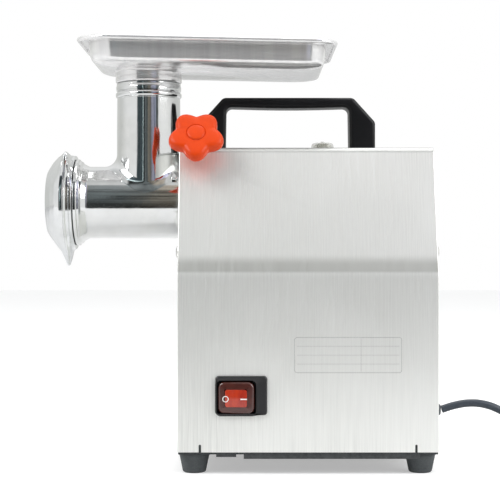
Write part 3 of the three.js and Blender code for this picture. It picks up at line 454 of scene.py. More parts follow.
def make_label():
    """A plain etched frame with blank rows on the near side, without any lettering."""
    bm = new()
    y = -CASE["half_bottom"]
    x0, x1, z0, z1 = 48.5, 134.4, 81.5, 110
    line, proud = 0.35, 0.06
    outer = block((x1 - x0) / 2, (z1 - z0) / 2, 2.2, ((x0 + x1) / 2, (z0 + z1) / 2))
    rows = []
    for along, depth in [(y - proud, 0), (y - proud, line), (y + 0.2, line), (y + 0.2, 0)]:
        rows.append([(u, along, v) for u, v in inset(outer, depth)])
    skin(bm, rows, loop=True)
    for k in range(1, 4):
        z = z0 + (z1 - z0) * k / 4
        box(bm, x0 + 2, x1 - 2, y - proud, y + 0.2, z - line / 3, z + line / 3)
    x = x0 + 0.62 * (x1 - x0)
    box(bm, x - line / 3, x + line / 3, y - proud, y + 0.2, z0 + 1, z1 - 1)
    piece("etched_frame", bm, "etch", "machine")


def make_feet():
    for end in ("front", "rear"):
        for side in ("near", "far"):
            node = f"foot_{end}_{side}"
            low, high = limits(node)
            middle = ((low.x + high.x) / 2, (low.y + high.y) / 2)
            top, bottom = 12.5, 9.2
            profile = fillet([
                (1.2, 0, 0), (1.2, 4.2, 0.4), (low.z, 4.8, 0.4), (low.z, bottom, 2.2),
                (high.z - 2.2, top - 0.45, 0.3), (high.z - 2.0, top, 0.3), (high.z, top, 0.5),
                (high.z, 0, 0)], 5, closed=False)
            bm = new(turned, "z", profile, 72, middle)
            piece(f"{node}_moulded", bm, "foot_rubber", "machine", [node], sharp=50)


def make_handle():
    low, high = limits("carry_handle")
    x0, x1, seat, top = low.x, high.x, low.z, high.z
    slant, shoulder, grip, front, rear, radius = 19, 290, 303, -8, 99, 5
    sag = [(front + (rear - front) * t, grip - 1.1 * math.sin(math.pi * t), 0) for t in
           [k / 12 for k in range(1, 12)]]
    corners = [(x0, seat, 0), (front, seat, 0), (front + 0.6, grip, radius)] + sag + [
        (rear - 0.6, grip, radius), (rear, seat, 0), (x1, seat, 0), (x1, shoulder, 5),
        (x1 - slant, top, 6), (x0 + slant, top, 6), (x0, shoulder, 5)]
    bm = new(prism, "y", fillet(corners, 8), low.y, high.y, 3.2, 7)
    piece("carry_handle_moulded", bm, "handle_plastic", "machine", ["carry_handle"], sharp=40)


def make_screws():
    """Pan-head cross-recess screws in the two end panels."""
    for end in ("front", "rear"):
        for side in ("near", "far"):
            node = f"{end}_panel_screw_{side}"
            low, high = limits(node)
            out = -1 if end == "front" else 1
            face, tail = (low.x, high.x) if end == "front" else (high.x, low.x)
            middle = ((low.y + high.y) / 2, (low.z + high.z) / 2)
            under = face - out * 1.9
            dome = [(0, 0), (0.05, 1.6), (0.3, 3.2), (0.8, 4.5), (1.4, 5.3)]
            profile = [(face - out * run, r) for run, r in dome]
            profile += [(under, 5.5), (under, 2.0), (tail, 1.8), (tail, 0)]
            head = new(turned, "x", smooth_line(profile[:6], 3) + profile[6:], 48, middle)
            y, z = middle
            ends = sorted((face + out, face - out * 1.1))
            cross = [new(box, *ends, y - a, y + a, z - b, z + b) for a, b in ((2.6, 0.5), (0.5, 2.6))]
            piece(f"{node}_head", carve(head, *cross), "fastener_steel", "machine", [node], sharp=40)


# ---------------------------------------------------------------- switch and reset button
def make_switch():
    low, high = limits("switch_bezel")
    face = -CASE["half_bottom"]
    middle = ((low.x + high.x) / 2, (low.z + high.z) / 2)
    half = ((high.x - low.x) / 2, (high.z - low.z) / 2)
    cap_low, cap_high = limits("switch_rocker")
    cap_middle = ((cap_low.x + cap_high.x) / 2, (cap_low.z + cap_high.z) / 2)
    cap_half = ((cap_high.x - cap_low.x) / 2, (cap_high.z - cap_low.z) / 2)
    outer = block(*half, 2.6, middle)
    opening = block(cap_half[0] + 0.7, cap_half[1] + 0.7, 3.2, cap_middle)
    sleeve = block(half[0] - 1.1, half[1] - 1.1, 1.2, middle)
    front = low.y
    levels = [(sleeve, 0, -88), (sleeve, 0, face - 0.3), (outer, 0, face - 0.3), (outer, 0, front + 1.2),
              (outer, 0.35, front + 0.45), (outer, 1.1, front), (opening, -1.3, front),
              (opening, -0.55, front + 0.35), (opening, -0.1, front + 1.1), (opening, 0, -88)]
    rows = [[(u, y, v) for u, v in inset(line, depth)] for line, depth, y in levels]
    piece("switch_bezel_moulded", new(skin, rows, loop=True), "switch_black", "machine",
          ["switch_bezel"], sharp=28)
    make_rocker(cap_middle, front)


def make_rocker(middle, front):
    """The lit cap, its window and its two marks, all turned with the cap's rest tilt."""
    rest_tilt = math.radians(-5)
    pivot = Vector((middle[0], -CASE["half_bottom"], middle[1])) * MM
    tilt = Matrix.Translation(pivot) @ Matrix.Rotation(rest_tilt, 4, "Z")
    width, height, proud = 14.5, 12.6, 3.4
    bm = new()
    outline = block(width, height, 5.0, steps=10)
    levels = [(5, 0), (-proud + 1.8, 0), (-proud + 0.9, 0.3), (-proud + 0.3, 1.0), (-proud, 2.2),
              (-proud - 0.15, 4.5), (-proud - 0.2, 6.5)]
    rows = [[(u, y, v) for u, v in inset(outline, depth)] for y, depth in levels]
    skin(bm, rows)
    piece("switch_cap", bm, "switch_red", "rocker", ["switch_rocker"], tilt, sharp=45)
    face = -proud - 0.2
    window = new(prism, "y", block(8.7, 6.9, 1.6, (0.2, -0.4)), face - 0.15, face + 0.6, 0.15, 2)
    piece("switch_window", window, "switch_window", "rocker", matrix=tilt, sharp=45)
    mark = face - 0.28
    ring = new(turned, "y", [(mark, 1.9), (mark, 2.5), (face, 2.5), (face, 1.9)], 48, (-8.2, -0.9))
    piece("switch_mark_off", ring, "switch_mark", "rocker", matrix=tilt)
    dash = new(prism, "y", block(2.6, 0.5, 0.2, (6.4, -0.9)), mark, face, 0.05, 1)
    piece("switch_mark_on", dash, "switch_mark", "rocker", matrix=tilt)


def make_reset():
    low, high = limits("reset_boot")
    middle = ((low.x + high.x) / 2, 0)
    seat, top = low.z, high.z
    outside = smooth_line([(seat, 11), (seat + 1.2, 11), (seat + 2.0, 10.2), (seat + 3.2, 9.9),
                           (top - 3.6, 9.6), (top - 1.9, 8.6), (top - 1.2, 6.4), (top - 1.3, 3.4)], 4)
    nub = [(top - 1.1, 1.9), (top - 0.1, 1.4), (top, 0)]
    inside = [(top - 1.9, 0), (top - 2.1, 3.4), (top - 2.3, 5.9), (top - 4, 7.8), (seat + 2, 8.8),
              (seat, 9.8)]
    piece("reset_boot_moulded", new(turned, "z", outside + nub + inside, 72, middle), "boot_rubber",
          "machine", ["reset_boot"], sharp=50)
    low, high = limits("reset_button")
    profile = fillet([(low.z, 0, 0), (low.z, 5.4, 0.4), (high.z - 3.2, 5.4, 0.1), (high.z - 3.0, 4.9, 0.1),
                      (high.z, 4.9, 1.2), (high.z - 0.3, 0, 0)], 5, closed=False)
    piece("reset_button_moulded", new(turned, "z", profile, 64, middle), "switch_black", "reset",
          ["reset_button"], sharp=40)


# ---------------------------------------------------------------- grinding head
HEAD = dict(radius=31, bore=27, rear=-20, back_wall=-27, mouth=-153, thread=36.6, flange=37.4,
            neck_x=-75, neck_radius=27.5, neck_bore=24.4, neck_top=324)


def make_barrel():
    h = HEAD
    line = (0, AXIS_Z)
    thread = []
    for k in range(4):
        x = h["mouth"] + 1.2 + 3.4 * k
        thread += [(x, h["thread"]), (x + 1.5, h["thread"]), (x + 1.9, h["thread"] - 0.9),
                   (x + 2.9, h["thread"] - 0.9)]
    outside = fillet([
        (-137.3, h["thread"] - 0.6, 0), (-137.3, h["flange"], 0.8), (-134.4, h["flange"], 0.7),
        (-133.9, h["flange"] - 1.5, 0.4), (-132.2, h["flange"] - 1.9, 0.6), (-130.6, 33.4, 1.4),
        (-126, h["radius"], 5), (h["rear"], h["radius"], 1.0), (h["rear"], 11.3, 0.4),
        (h["back_wall"], 11.3, 0.4), (h["back_wall"], h["bore"], 2), (-150, h["bore"], 0.3),
        (-150, 31.3, 0.3), (h["mouth"], 31.3, 0.3), (h["mouth"], h["thread"], 0)], 6)
    bm = new(turned, "x", outside + thread, 144, line)
    bm = carve(bm, new(rod, "z", AXIS_Z, 300, h["neck_bore"], 96, (h["neck_x"], 0)))
    add_neck(bm)
    add_lug(bm)
    piece("head_casting", bm, "head_alloy", "head", ["head_barrel"], sharp=40)


def add_neck(bm):
    """The neck flows into the barrel with a fillet that is wide fore and aft and slim at the sides."""
    h = HEAD
    steps, arc = 144, 12
    top = h["neck_top"]

    def ring(reach, rise):
        """reach and rise are distances from the neck's wall and above the barrel's skin."""
        points = []
        for k in range(steps):
            angle = TURN * k / steps
            size = 2.9 + 8 * math.cos(angle) ** 2
            r = h["neck_radius"] + size * reach
            y = r * math.sin(angle)
            z = AXIS_Z + math.sqrt(h["radius"] ** 2 - y * y) + size * rise
            points.append((h["neck_x"] + r * math.cos(angle), y, z - 0.02))
        return points

    rows = [ring(1, -0.12)]
    angles = [math.pi / 2 * k / arc for k in range(arc + 1)]
    rows += [ring(1 - math.sin(a), 1 - math.cos(a)) for a in angles]
    wall = [(top - 52, 27.5), (top - 40, 27.5), (top - 26, 27.4), (top - 13.6, 27.3), (top - 13.2, 26.9),
            (top - 12.7, 26.9), (top - 12.4, 27.8), (top - 11.4, 28.5), (top - 9.6, 28.6), (top - 8.4, 28.1),
            (top - 8.0, 27.6), (top - 7.6, 27.3), (top - 7.0, 27.4), (top - 6.6, 28.0), (top - 3.2, 28.2),
            (top - 2.6, 27.8), (top - 0.6, 27.8), (top, 27.2), (top, 25.0), (top - 0.6, 24.4), (270, 24.4)]
    rows += [around("z", z, r, steps, (h["neck_x"], 0)) for z, r in wall]
    foot = []
    for k in range(steps):
        angle = TURN * k / steps
        y = h["neck_bore"] * math.sin(angle)
        foot.append((h["neck_x"] + h["neck_bore"] * math.cos(angle), y,
                     AXIS_Z + math.sqrt(h["bore"] ** 2 - y * y) + 0.3))
    rows.append(foot)
    skin(bm, rows, loop=True)


def add_lug(bm):
    """The stop lug on the barrel's rear."""
    lug = new(prism, "x", block(3, 3, 0.8, (0, 31)), -54, -48.2, 0.6, 3)
    turn = Matrix.Translation((0, 0, AXIS_Z * MM)) @ Matrix.Rotation(math.radians(50), 4, "X")
    bmesh.ops.transform(lug, matrix=turn, verts=lug.verts)
    mesh = bpy.data.meshes.new("work")
    lug.to_mesh(mesh)
    lug.free()
    bm.from_mesh(mesh)


def make_ring_nut():
    """The dome swells into three sharp finger lobes, one down and one up on the near side."""
    bore, opening, plate, pocket, mouth = 37.2, 23, -156.3, 33.6, -153.3
    inside = [(-161.6, 27.2, 1), (-161.6, 24.6, 1), (-160, opening, 1), (plate, opening, 0.2),
              (plate, pocket, 0.3), (mouth, pocket, 0.2), (mouth, bore, 0.2)]
    dome = fillet([
        (-137.6, bore, 0.2), (-137.6, 40.4, 0.5), (-139.4, 40.6, 0.2), (-139.7, 40.1, 0.1),
        (-140.2, 40.1, 0.1), (-140.5, 40.7, 0.2), (-142.6, 40.9, 0.3), (-143.4, 41.7, 0.3),
        (-144.2, 42.5, 0.3), (-144.6, 42.0, 0.1), (-145.1, 42.5, 0.3), (-148, 42.3, 2),
        (-152.3, 39.8, 6), (-156.6, 35.2, 6), (-160.2, 29.8, 3)] + inside, 5)
    fin = fillet([
        (-137.6, bore, 0.2), (-137.6, 40.6, 0.5), (-139.2, 42.4, 0.2), (-139.8, 45, 0.1),
        (-140.4, 49, 0.1), (-140.8, 53.3, 0.2), (-141.1, 55.8, 0.3), (-141.9, 56.7, 0.3),
        (-143.2, 56.7, 0.3), (-143.8, 55.6, 0.1), (-144.3, 54.9, 0.3), (-145.2, 52.6, 0.6),
        (-149.4, 43.8, 3), (-155, 36.4, 3), (-159.4, 30.6, 3)] + inside, 5)
    steps, lobes = 216, 3
    lobe_turn, spread, soft = (math.radians(a) for a in (105, 27, 2.5))
    rows = []
    for (xa, ra), (xb, rb) in zip(dome, fin):
        row = []
        for k in range(steps):
            angle = TURN * k / steps
            off = (angle + lobe_turn + TURN / lobes / 2) % (TURN / lobes) - TURN / lobes / 2
            share = max(0, 1 - (math.hypot(off, soft) - soft) / spread)
            share = share ** 1.25
            x, r = xa + (xb - xa) * share, ra + (rb - ra) * share
            row.append((x, r * math.cos(angle), AXIS_Z + r * math.sin(angle)))
        rows.append(row)
    piece("ring_nut_casting", new(skin, rows, loop=True), "nut_alloy", "ring_nut", ["ring_nut"],
          sharp=35)


def make_plate():
    low, high = limits("hole_plate")
    line = (0, AXIS_Z)
    disc = fillet([(low.x, 0, 0), (low.x, 31, 0.5), (high.x, 31, 0.5), (high.x, 0, 0)], 3, closed=False)
    holes = new()
    drill = lambda radius, y, z: rod(holes, "x", low.x - 1, high.x + 1, radius, 32, (y, z))
    for count, ring in ((6, 10.5), (12, 19.5)):
        for k in range(count):
            angle = TURN * (k + 0.5) / count
            drill(3.2, ring * math.sin(angle), AXIS_Z + ring * math.cos(angle))
    drill(4.3, 0, AXIS_Z)
    drill(2, 0, AXIS_Z + 31.6)
    piece("hole_plate_ground", carve(new(turned, "x", disc, 144, line), holes), "plate_steel", "plate",
          ["hole_plate"], sharp=30, bevel=0.25)


def make_auger():
    """The feed screw: a helical flight with a rounded crest, its journal, square drive and pin."""
    front, rear, core, flight, turns, square = -143.7, -29.6, 9, 26.2, 3.2, 10
    bm = new()
    count, steps = 64, 200
    rows = []
    for i in range(steps + 1):
        t = i / steps
        row = []
        for k in range(count):
            angle = TURN * k / count
            off = abs(math.atan2(math.sin(angle), math.cos(angle))) / 0.6
            r = core + (flight - core) * max(0, 1 - off ** 2.4) ** 0.8
            spin = angle + t * turns * TURN
            row.append((front + (rear - front) * t, r * math.sin(spin), AXIS_Z + r * math.cos(spin)))
        rows.append(row)
    skin(bm, rows)
    line = (0, AXIS_Z)
    shaft = [(rear - 2.5, 0, 0), (rear - 2.5, 18, 0.6), (rear, 18, 0.6), (rear, 11, 0.3), (-20.5, 11, 0.6),
             (-20.5, 0, 0)]
    turned(bm, "x", fillet(shaft, 4, closed=False), 64, line)
    pin = [(-155.3, 0, 0), (-155.3, 3.7, 0.6), (front + 1, 3.7, 0.1), (front + 1, 0, 0)]
    turned(bm, "x", fillet(pin, 4, closed=False), 40, line)
    drive = block(square / 2, square / 2, 0.8, line, 3)
    prism(bm, "x", drive, -149.9, front + 1, 0.4, 2)
    prism(bm, "x", drive, -21, -8, 0.8, 3)
    piece("auger_casting", bm, "auger_iron", "auger", ["auger"], sharp=35)


# ---------------------------------------------------------------- feed tray
def make_tray():
    """A pan that falls a little to the rear, sharply bent under its sides, wide under its nose."""
    slope, ahead, behind, half = 0.021, 57.5, 161, 70
    bottom, rim, bead, sheet, spout = 333.4, 356.8, 2, 1.2, 28.7
    length, middle = (behind + ahead) / 2, (behind - ahead) / 2
    corners = [(-ahead, -half, 30), (behind, -half, 19), (behind, half, 19), (-ahead, half, 30)]
    outline = even(fillet(corners, 16), 240)

    def loop_at(z, depth, nose=None):
        """The outline at one level, drawn in by depth, and by nose at the head's end."""
        points = []
        for u, v in outline:
            drawn = depth if nose is None or u > middle else nose
            x = middle + (u - middle) * (1 - drawn / length)
            points.append((x, v * (1 - depth / half), z - x * slope))
        return points

    def round_at(z, radius, fall=0.0):
        points = []
        for u, v in outline:
            angle = math.atan2(v, u)
            x = radius * math.cos(angle)
            points.append((x, radius * math.sin(angle), z - fall * radius * math.cos(angle)))
        return points

    wall = smooth_line([
        (bottom, 29, 29.5), (bottom + 0.5, 23, 24), (bottom + 1.5, 17.5, 18.8), (bottom + 2.7, 13.6, 15.2),
        (bottom + 4.1, 11.7, 13), (bottom + 6.2, 10.7, 11.5), (bottom + 11, 10.1, 10.2),
        (rim - 2.4, 9.6, 9.6)], 5)
    rows = [round_at(297, 22.6), round_at(bottom - 0.2, 22.6, slope), round_at(bottom + 0.8, 23.2, slope),
            round_at(bottom + 1.2, 24.6, slope), loop_at(bottom + 1.2, 32)]
    rows += [loop_at(z + sheet, depth + 1.08, nose + 1.08) for z, depth, nose in wall]
    rows += [loop_at(z, depth) for z, depth in [
        (rim - 0.5, 10.2), (rim - 0.1, 9.4), (rim, 8.4), (rim, 5)]]
    for k in range(13):
        angle = math.pi * (0.5 - k / 12)
        rows.append(loop_at(rim - bead + bead * math.sin(angle), bead - bead * math.cos(angle)))
    rows += [loop_at(z, depth) for z, depth in [
        (rim - 2 * bead + 0.3, 2.6), (rim - bead, 2.9), (rim - 1.5, 3.2), (rim - sheet, 4),
        (rim - sheet, 8.2), (rim - 1.7, 9.2)]]
    rows += [loop_at(*level) for level in reversed(wall)]
    rows += [loop_at(bottom, 32), round_at(bottom, spout + 1.2, slope)]
    rows.append(round_at(bottom - 0.6, spout + 0.2, slope))
    rows += [round_at(z, r) for z, r in [
        (bottom - 1.8, spout), (bottom - 3.7, spout), (bottom - 4, spout - 0.35),
        (bottom - 4.6, spout - 0.35), (bottom - 4.9, spout), (325.4, spout), (324.8, spout - 0.3),
        (324.3, spout - 1), (324.3, 24.1), (297.6, 24.1), (297, 23.6)]]
    neck = Matrix.Translation((HEAD["neck_x"] * MM, 0, 0))
    piece("feed_tray_pressed", new(skin, rows, loop=True), "tray_steel", "tray", ["feed_tray"], neck,
          sharp=35)


def even(outline, count):
    """The closed outline with its points spread evenly along it."""
    points = [Vector(p) for p in outline]
    points.append(points[0])
    runs = [0.0]
    for a, b in zip(points, points[1:]):
        runs.append(runs[-1] + (b - a).length)
    spread, i = [], 0
    for k in range(count):
        goal = runs[-1] * k / count
        while runs[i + 1] < goal:
            i += 1
        share = (goal - runs[i]) / max(1e-9, runs[i + 1] - runs[i])
        spread.append(tuple(points[i].lerp(points[i + 1], share)))
    return spread


# ---------------------------------------------------------------- clamp knob
def make_knob():
    tip, waist, lobes = 23, 17.7, 5

    def star(depth):
        def radius(angle):
            swell = (1 + math.cos(lobes * (angle + math.pi / 2))) / 2
            return waist + (tip - waist) * swell ** 0.75 - depth
        return radius

    def eased(share, circle, depth):
        wide = star(depth)
        return lambda angle: wide(angle) * (1 - share) + circle * share

    steps = 200
    rows = [around("z", z, r, steps) for z, r in [(84.5, 0.01), (84.5, 8.4), (84.9, 8.9), (86, 9.1),
                                                  (92.4, 10), (93.5, 10.8)]]
    rows += [around("z", z, star(depth), steps) for z, depth in [
        (93.5, 3.2), (93.7, 2.0), (94.3, 1.0), (95.4, 0.3), (97, 0), (100, 0.05), (101.4, 0.4), (102.5, 1.1),
        (103.3, 2.2), (103.8, 3.7), (104.0, 5.4)]]
    rows += [around("z", z, eased(share, circle, 7), steps) for z, share, circle in [
        (104.1, 0.4, 11), (104.2, 0.8, 9.8), (104.2, 1, 8.8)]]
    rows += [around("z", z, r, steps) for z, r in [
        (104.2, 8.1), (103.9, 7.9), (103.7, 7.6), (103.9, 7.3), (104.5, 7.1), (104.9, 6.7), (105.1, 6),
        (105.3, 3), (105.3, 0.01)]]
    piece("clamp_knob_moulded", new(skin, rows), "knob_orange", "clamp_knob", ["clamp_knob"],
          clamp_matrix(), sharp=50)

    low, high, stud, pitch = 31.4, 97, 4, 1.25
    thread = [(low, 0), (low, 2.6), (low + 1.2, stud)]
    for k in range(32):
        z = low + 2 + pitch * k
        thread += [(z, stud), (z + 0.55, stud - 0.6), (z + 1.1, stud)]
    thread += [(high - 8, stud), (high, stud), (high, 0)]
    piece("clamp_stud_rolled", new(turned, "z", thread, 40), "gear_steel", "clamp_knob", ["clamp_stud"],
          clamp_matrix(), sharp=30)
    washer = fillet([(82, 4.3, 0.2), (82, 8, 0.4), (83.6, 8, 0.4), (83.6, 4.3, 0.2)], 3)
    piece("clamp_washer_stamped", new(turned, "z", washer, 64), "fastener_steel", "clamp_carrier",
          ["clamp_washer"], clamp_matrix(), sharp=35)


# ---------------------------------------------------------------- mains cord
CORD_RADIUS = 3.5
CORD_EXIT = (CASE_HIGH.x, 55, 34.6)
CORD_ROUTE = [(187.3, 55, 34.9), (199, 55, 38.5), (213, 55, 40.6), (227, 55.2, 39.2), (240, 56.4, 34.3),
              (255, 60, 25.4), (270, 66.3, 14.6), (279, 69.8, 9.2), (284, 71.2, 6.9), (291, 71.9, 4.8),
              (300, 72.1, 3.7)]
COIL = dict(x=312, y=30, wide=42, narrow=35, end=-20)
TAIL = dict(length=46, z=17.5)


def coil_points():
    """The coil clockwise from its far side: turns side by side and on each other."""
    c, d = COIL, 2 * CORD_RADIUS
    floor = CORD_RADIUS
    turns = [(c["wide"], floor), (c["narrow"], floor), (c["narrow"], floor + d), (c["wide"], floor + d),
             (c["narrow"], floor + 2 * d), (c["wide"], floor + 2 * d)]
    per_turn, shift = 36, 5
    last = round(per_turn * (90 - c["end"]) / 360)
    total = per_turn * 5 + last
    points = []
    for k in range(total + 1):
        turn = min(5, k // per_turn)
        left = per_turn * (turn + 1) - k
        radius, z = turns[turn]
        if turn < 5 and left < shift:
            blend = 1 - left / shift
            ease = blend * blend * (3 - 2 * blend)
            radius += (turns[turn + 1][0] - radius) * ease
            z += (turns[turn + 1][1] - z) * ease
        angle = math.pi / 2 - TURN * k / per_turn
        points.append((c["x"] + radius * math.cos(angle), c["y"] + radius * math.sin(angle), z))
    return points


def tail_points():
    """The stretch from the coil to the plug, along the coil's tangent."""
    angle = math.radians(COIL["end"])
    leave = (COIL["x"] + COIL["wide"] * math.cos(angle), COIL["y"] + COIL["wide"] * math.sin(angle))
    heading = angle - math.pi / 2
    spots = [(leave[0] + s * math.cos(heading), leave[1] + s * math.sin(heading), TAIL["z"])
             for s in (9, 18, 27, 36, TAIL["length"] + 3)]
    return spots, heading, leave


def make_cord():
    tail, heading, leave = tail_points()
    points = CORD_ROUTE + coil_points() + tail
    curve = bpy.data.curves.new("mains_cord", "CURVE")
    curve.dimensions = "3D"
    curve.bevel_depth = CORD_RADIUS * MM
    curve.bevel_resolution = 8
    curve.resolution_u = 5
    curve.use_fill_caps = True
    spline = curve.splines.new("BEZIER")
    spline.bezier_points.add(len(points) - 1)
    for knot, spot in zip(spline.bezier_points, points):
        knot.co = Vector(spot) * MM
        knot.handle_left_type = knot.handle_right_type = "AUTO"
    cord = bpy.data.objects.new("mains_cord", curve)
    bpy.context.scene.collection.objects.link(cord)
    curve.materials.append(PAINT["cord_sheath"])
    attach(cord, "machine")
    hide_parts("cord", "cord_coil", "cord_tail")
    relief = make_relief()
    plug, pins = make_plug(heading, leave)
    run = [Vector(p) for p in points]


def make_relief():
    """A tapered sleeve with moulded ribs where the cord leaves the rear panel."""
    face = CORD_EXIT[0]
    profile = [(150, 3.6), (150, 9), (face - 2.1, 9), (face - 2.1, 7), (face + 0.1, 7), (face + 0.1, 9.3),
               (face + 3.6, 9.0), (face + 4.2, 8.3)]
    for k in range(5):
        x, r = face + 5 + 3.3 * k, 8.2 - 0.62 * k
        profile += [(x, r - 0.9), (x + 0.8, r - 0.95), (x + 1.1, r - 0.1), (x + 2.4, r - 0.35)]
    profile += [(185.6, 4.9), (186, 4.5), (186, 3.6)]
    bm = new(turned, "x", profile, 64, CORD_EXIT[1:])
    return piece("strain_relief_moulded", bm, "plug_plastic", "machine", ["strain_relief"], sharp=38)


def make_plug(heading, leave):
    reach = TAIL["length"] + 0.3
    base = Vector((leave[0] + reach * math.cos(heading), leave[1] + reach * math.sin(heading), TAIL["z"]))
    matrix = Matrix.Translation(base * MM) @ Matrix.Rotation(heading, 4, "Z")
    sleeve, face, radius, spacing, pin = 22, 56, 17, 9.5, 2.4
    grip = lambda r, share: (lambda a: r - share * 0.7 * (1 + math.cos(18 * a)) / 2)
    rows = [around("x", x, r, 144) for x, r in [(0, 3.4), (0, 4.6), (0.4, 5)]]
    for k in range(5):
        x, r = 2 + 3.8 * k, 5.2 + 0.36 * k
        rows += [around("x", s, t, 144) for s, t in [(x, r), (x + 0.3, r - 0.7), (x + 1.5, r - 0.65),
                                                     (x + 1.8, r + 0.12)]]
    rows += [around("x", x, grip(r, share), 144) for x, r, share in [
        (sleeve, 7, 0), (sleeve + 2, 9.4, 0), (sleeve + 4.5, 13.2, 0.2), (sleeve + 7.5, 15.9, 0.7),
        (sleeve + 11, 16.8, 1), (face - 12, 16.9, 1), (face - 9, 17, 0.3), (face - 7.5, radius, 0),
        (face - 0.8, radius, 0), (face - 0.2, radius - 0.3, 0), (face, radius - 0.9, 0), (face, 0.01, 0)]]
    skin_rows = new(skin, [around("x", 0, 0.01, 144)] + rows)
    pits = new()
    for side in (-1, 1):
        rod(pits, "x", face - 8, face + 1, pin + 0.3, 40, (side * spacing, 0))
    plug = piece("mains_plug", carve(skin_rows, pits), "plug_plastic", "machine", ["plug_body"], matrix,
                 sharp=38)
    pins = []
    for name, side in (("plug_pin_left", 1), ("plug_pin_right", -1)):
        start, end = face - 7.7, face + 19
        shape = fillet([(start, 0, 0), (start, pin, 0.2), (end, pin, 2.0), (end, 0, 0)], 6, closed=False)
        bm = new(turned, "x", shape, 40, (side * spacing, 0))
        pins.append(piece(f"{name}_plated", bm, "pin_nickel", "machine", [name], matrix, sharp=40))
    return plug, pins


# ---------------------------------------------------------------- pieces kept from the CAD model
def dress_frame():
    """Every CAD node that still shows gets its material and fine edges."""
    for name, node in NODES.items():
        if node.hide_render:
            continue
        slot = SLOTS[name]
        paint = PAINT["panel_steel"] if slot == "casing_steel" else PAINT[slot]
        if node.material_slots:
            for holder in node.material_slots:
                holder.material = paint
        else:
            node.data.materials.append(paint)
        add_bevel(node, 0.3)


# ---------------------------------------------------------------- studio
CAMERA = dict(spot=(0.01305, -1.218, 0.1797), lens=100.8, sensor=36)


def make_studio():
    scene = bpy.context.scene
    scene.view_settings.view_transform = "Standard"
    camera = bpy.data.cameras.new("camera")
    camera.lens, camera.sensor_width = CAMERA["lens"], CAMERA["sensor"]
    camera.clip_start, camera.clip_end = 0.05, 50
    view = bpy.data.objects.new("camera", camera)
    view.location = CAMERA["spot"]
    view.rotation_euler = (math.pi / 2, 0, 0)
    scene.collection.objects.link(view)
    scene.camera = view
    floor_mesh = bpy.data.meshes.new("floor")
    floor_mesh.from_pydata([(-4, -0.6, 0), (4, -0.6, 0), (4, 5, 0), (-4, 5, 0)], [], [(0, 1, 2, 3)])
    floor = bpy.data.objects.new("floor", floor_mesh)
    floor_mesh.materials.append(make_paper())
    scene.collection.objects.link(floor)
    make_world(scene)
    lamp("key_softbox", (-1.5, -1.1, 1.7), (0, 0, 0.2), 1.1, 34)
    lamp("fill_softbox", (1.7, -1.0, 1.2), (0, 0, 0.15), 1.2, 26)
    lamp("top_softbox", (0.2, 0.3, 2.2), (0, 0, 0.2), 1.4, 16)


def make_paper():
    """White paper that the photographer's lamps lift to plain white behind the object."""
    paper = grain_material("floor_paper", (0.66, 0.66, 0.66), (0.64, 0.64, 0.64), (0.8, 0.9), scale=300,
                           bump=0.02, Emission_Color=(1, 1, 1, 1))
    tree = paper.node_tree
    ray = tree.nodes.new("ShaderNodeLightPath")
    lift = remap(tree, ray.outputs["Is Camera Ray"], least=0.08, most=0.42)
    fill(tree, tree.nodes["Principled BSDF"], dict(Emission_Strength=lift))
    return paper


def lamp(name, spot, target, size, power):
    light = bpy.data.lights.new(name, "AREA")
    light.shape, light.size, light.energy = "SQUARE", size, power
    obj = bpy.data.objects.new(name, light)
    obj.location = spot
    obj.rotation_euler = (Vector(target) - Vector(spot)).to_track_quat("-Z", "Y").to_euler()
    bpy.context.scene.collection.objects.link(obj)


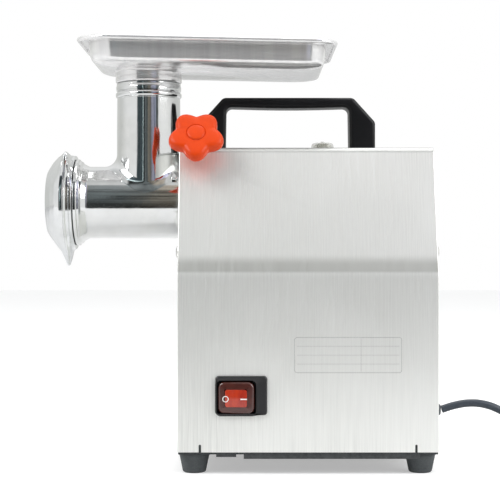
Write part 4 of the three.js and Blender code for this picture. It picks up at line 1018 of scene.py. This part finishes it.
def make_world(scene):
    """A white tent with one dark opening in front of the object, which only reflections show."""
    world = scene.world = bpy.data.worlds.new("tent")
    world.use_nodes = True
    tree = world.node_tree
    tree.nodes.clear()

    def ramp(value, low, high, kind="SMOOTHSTEP"):
        return remap(tree, value, low, high, kind=kind)

    def times(a, b):
        return maths(tree, "MULTIPLY", a, b)

    def steps(value, stops):
        node = add_node(tree, "ValToRGB", Fac=value)
        elements = node.color_ramp.elements
        for k, (spot, colour) in enumerate(stops):
            element = elements[k] if k < 2 else elements.new(spot)
            element.position, element.color = spot, (*colour, 1)
        return node.outputs["Color"]

    place = tree.nodes.new("ShaderNodeTexCoord").outputs["Generated"]
    x, y, z = add_node(tree, "SeparateXYZ", Vector=place).outputs
    half_width, foot, head = 0.64, -0.45, 0.85
    wide = ramp(maths(tree, "ABSOLUTE", x), half_width, 0.60)
    tall = times(ramp(z, head, 0.80), ramp(z, -0.46, -0.42))
    dark = times(times(wide, ramp(y, 0.0, -0.1)), tall)
    height = steps(ramp(z, foot, head, "LINEAR"), [
        (0.0, (0.030, 0.033, 0.032)), (0.27, (0.062, 0.070, 0.070)), (0.40, (0.135, 0.155, 0.158)),
        (0.7, (0.19, 0.22, 0.225)), (1.0, (0.36, 0.39, 0.40))])
    across = steps(ramp(x, -half_width, half_width, "LINEAR"), [
        (0.0, (0.5, 0.58, 0.62)), (0.27, (0.42, 0.5, 0.55)), (0.275, (7, 7.5, 7.5)), (0.292, (6, 6.5, 6.5)),
        (0.297, (0.15, 0.15, 0.15)), (0.36, (0.2, 0.2, 0.2)), (0.38, (1, 1, 1)), (0.5, (1, 1, 1)),
        (0.52, (1.9, 1.5, 1.2)), (0.66, (1.7, 1.4, 1.2)), (0.68, (3.2, 2.8, 3.4)), (0.86, (3, 2.8, 3.6)),
        (0.9, (1, 1, 1))])
    inside = mix(tree, 1, height, across, "MULTIPLY")
    inside = mix(tree, 1, inside, ramp(noise(tree, place, 9, 4), 0.2, 0.6), "MULTIPLY")
    lit = maths(tree, "MAXIMUM", ramp(z, 0.1, 0.75), ramp(y, 0.55, -0.25))
    wall = mix(tree, lit, (0.72, 0.73, 0.71), (0.97, 0.975, 0.97))
    roof = mix(tree, ramp(z, 0.72, 0.97), wall, (0.66, 0.67, 0.67))
    ray = tree.nodes.new("ShaderNodeLightPath")
    seen = mix(tree, ray.outputs["Is Camera Ray"], mix(tree, dark, roof, inside), (1, 1, 1))
    sky = add_node(tree, "Background", Color=seen)
    add_node(tree, "OutputWorld", Surface=sky.outputs["Background"])


make_studio()
make_cord()
make_casing()
make_label()
make_feet()
make_handle()
make_screws()
make_switch()
make_reset()
make_barrel()
make_ring_nut()
make_plate()
make_auger()
make_tray()
make_knob()
dress_frame()

bpy.context.view_layer.update()
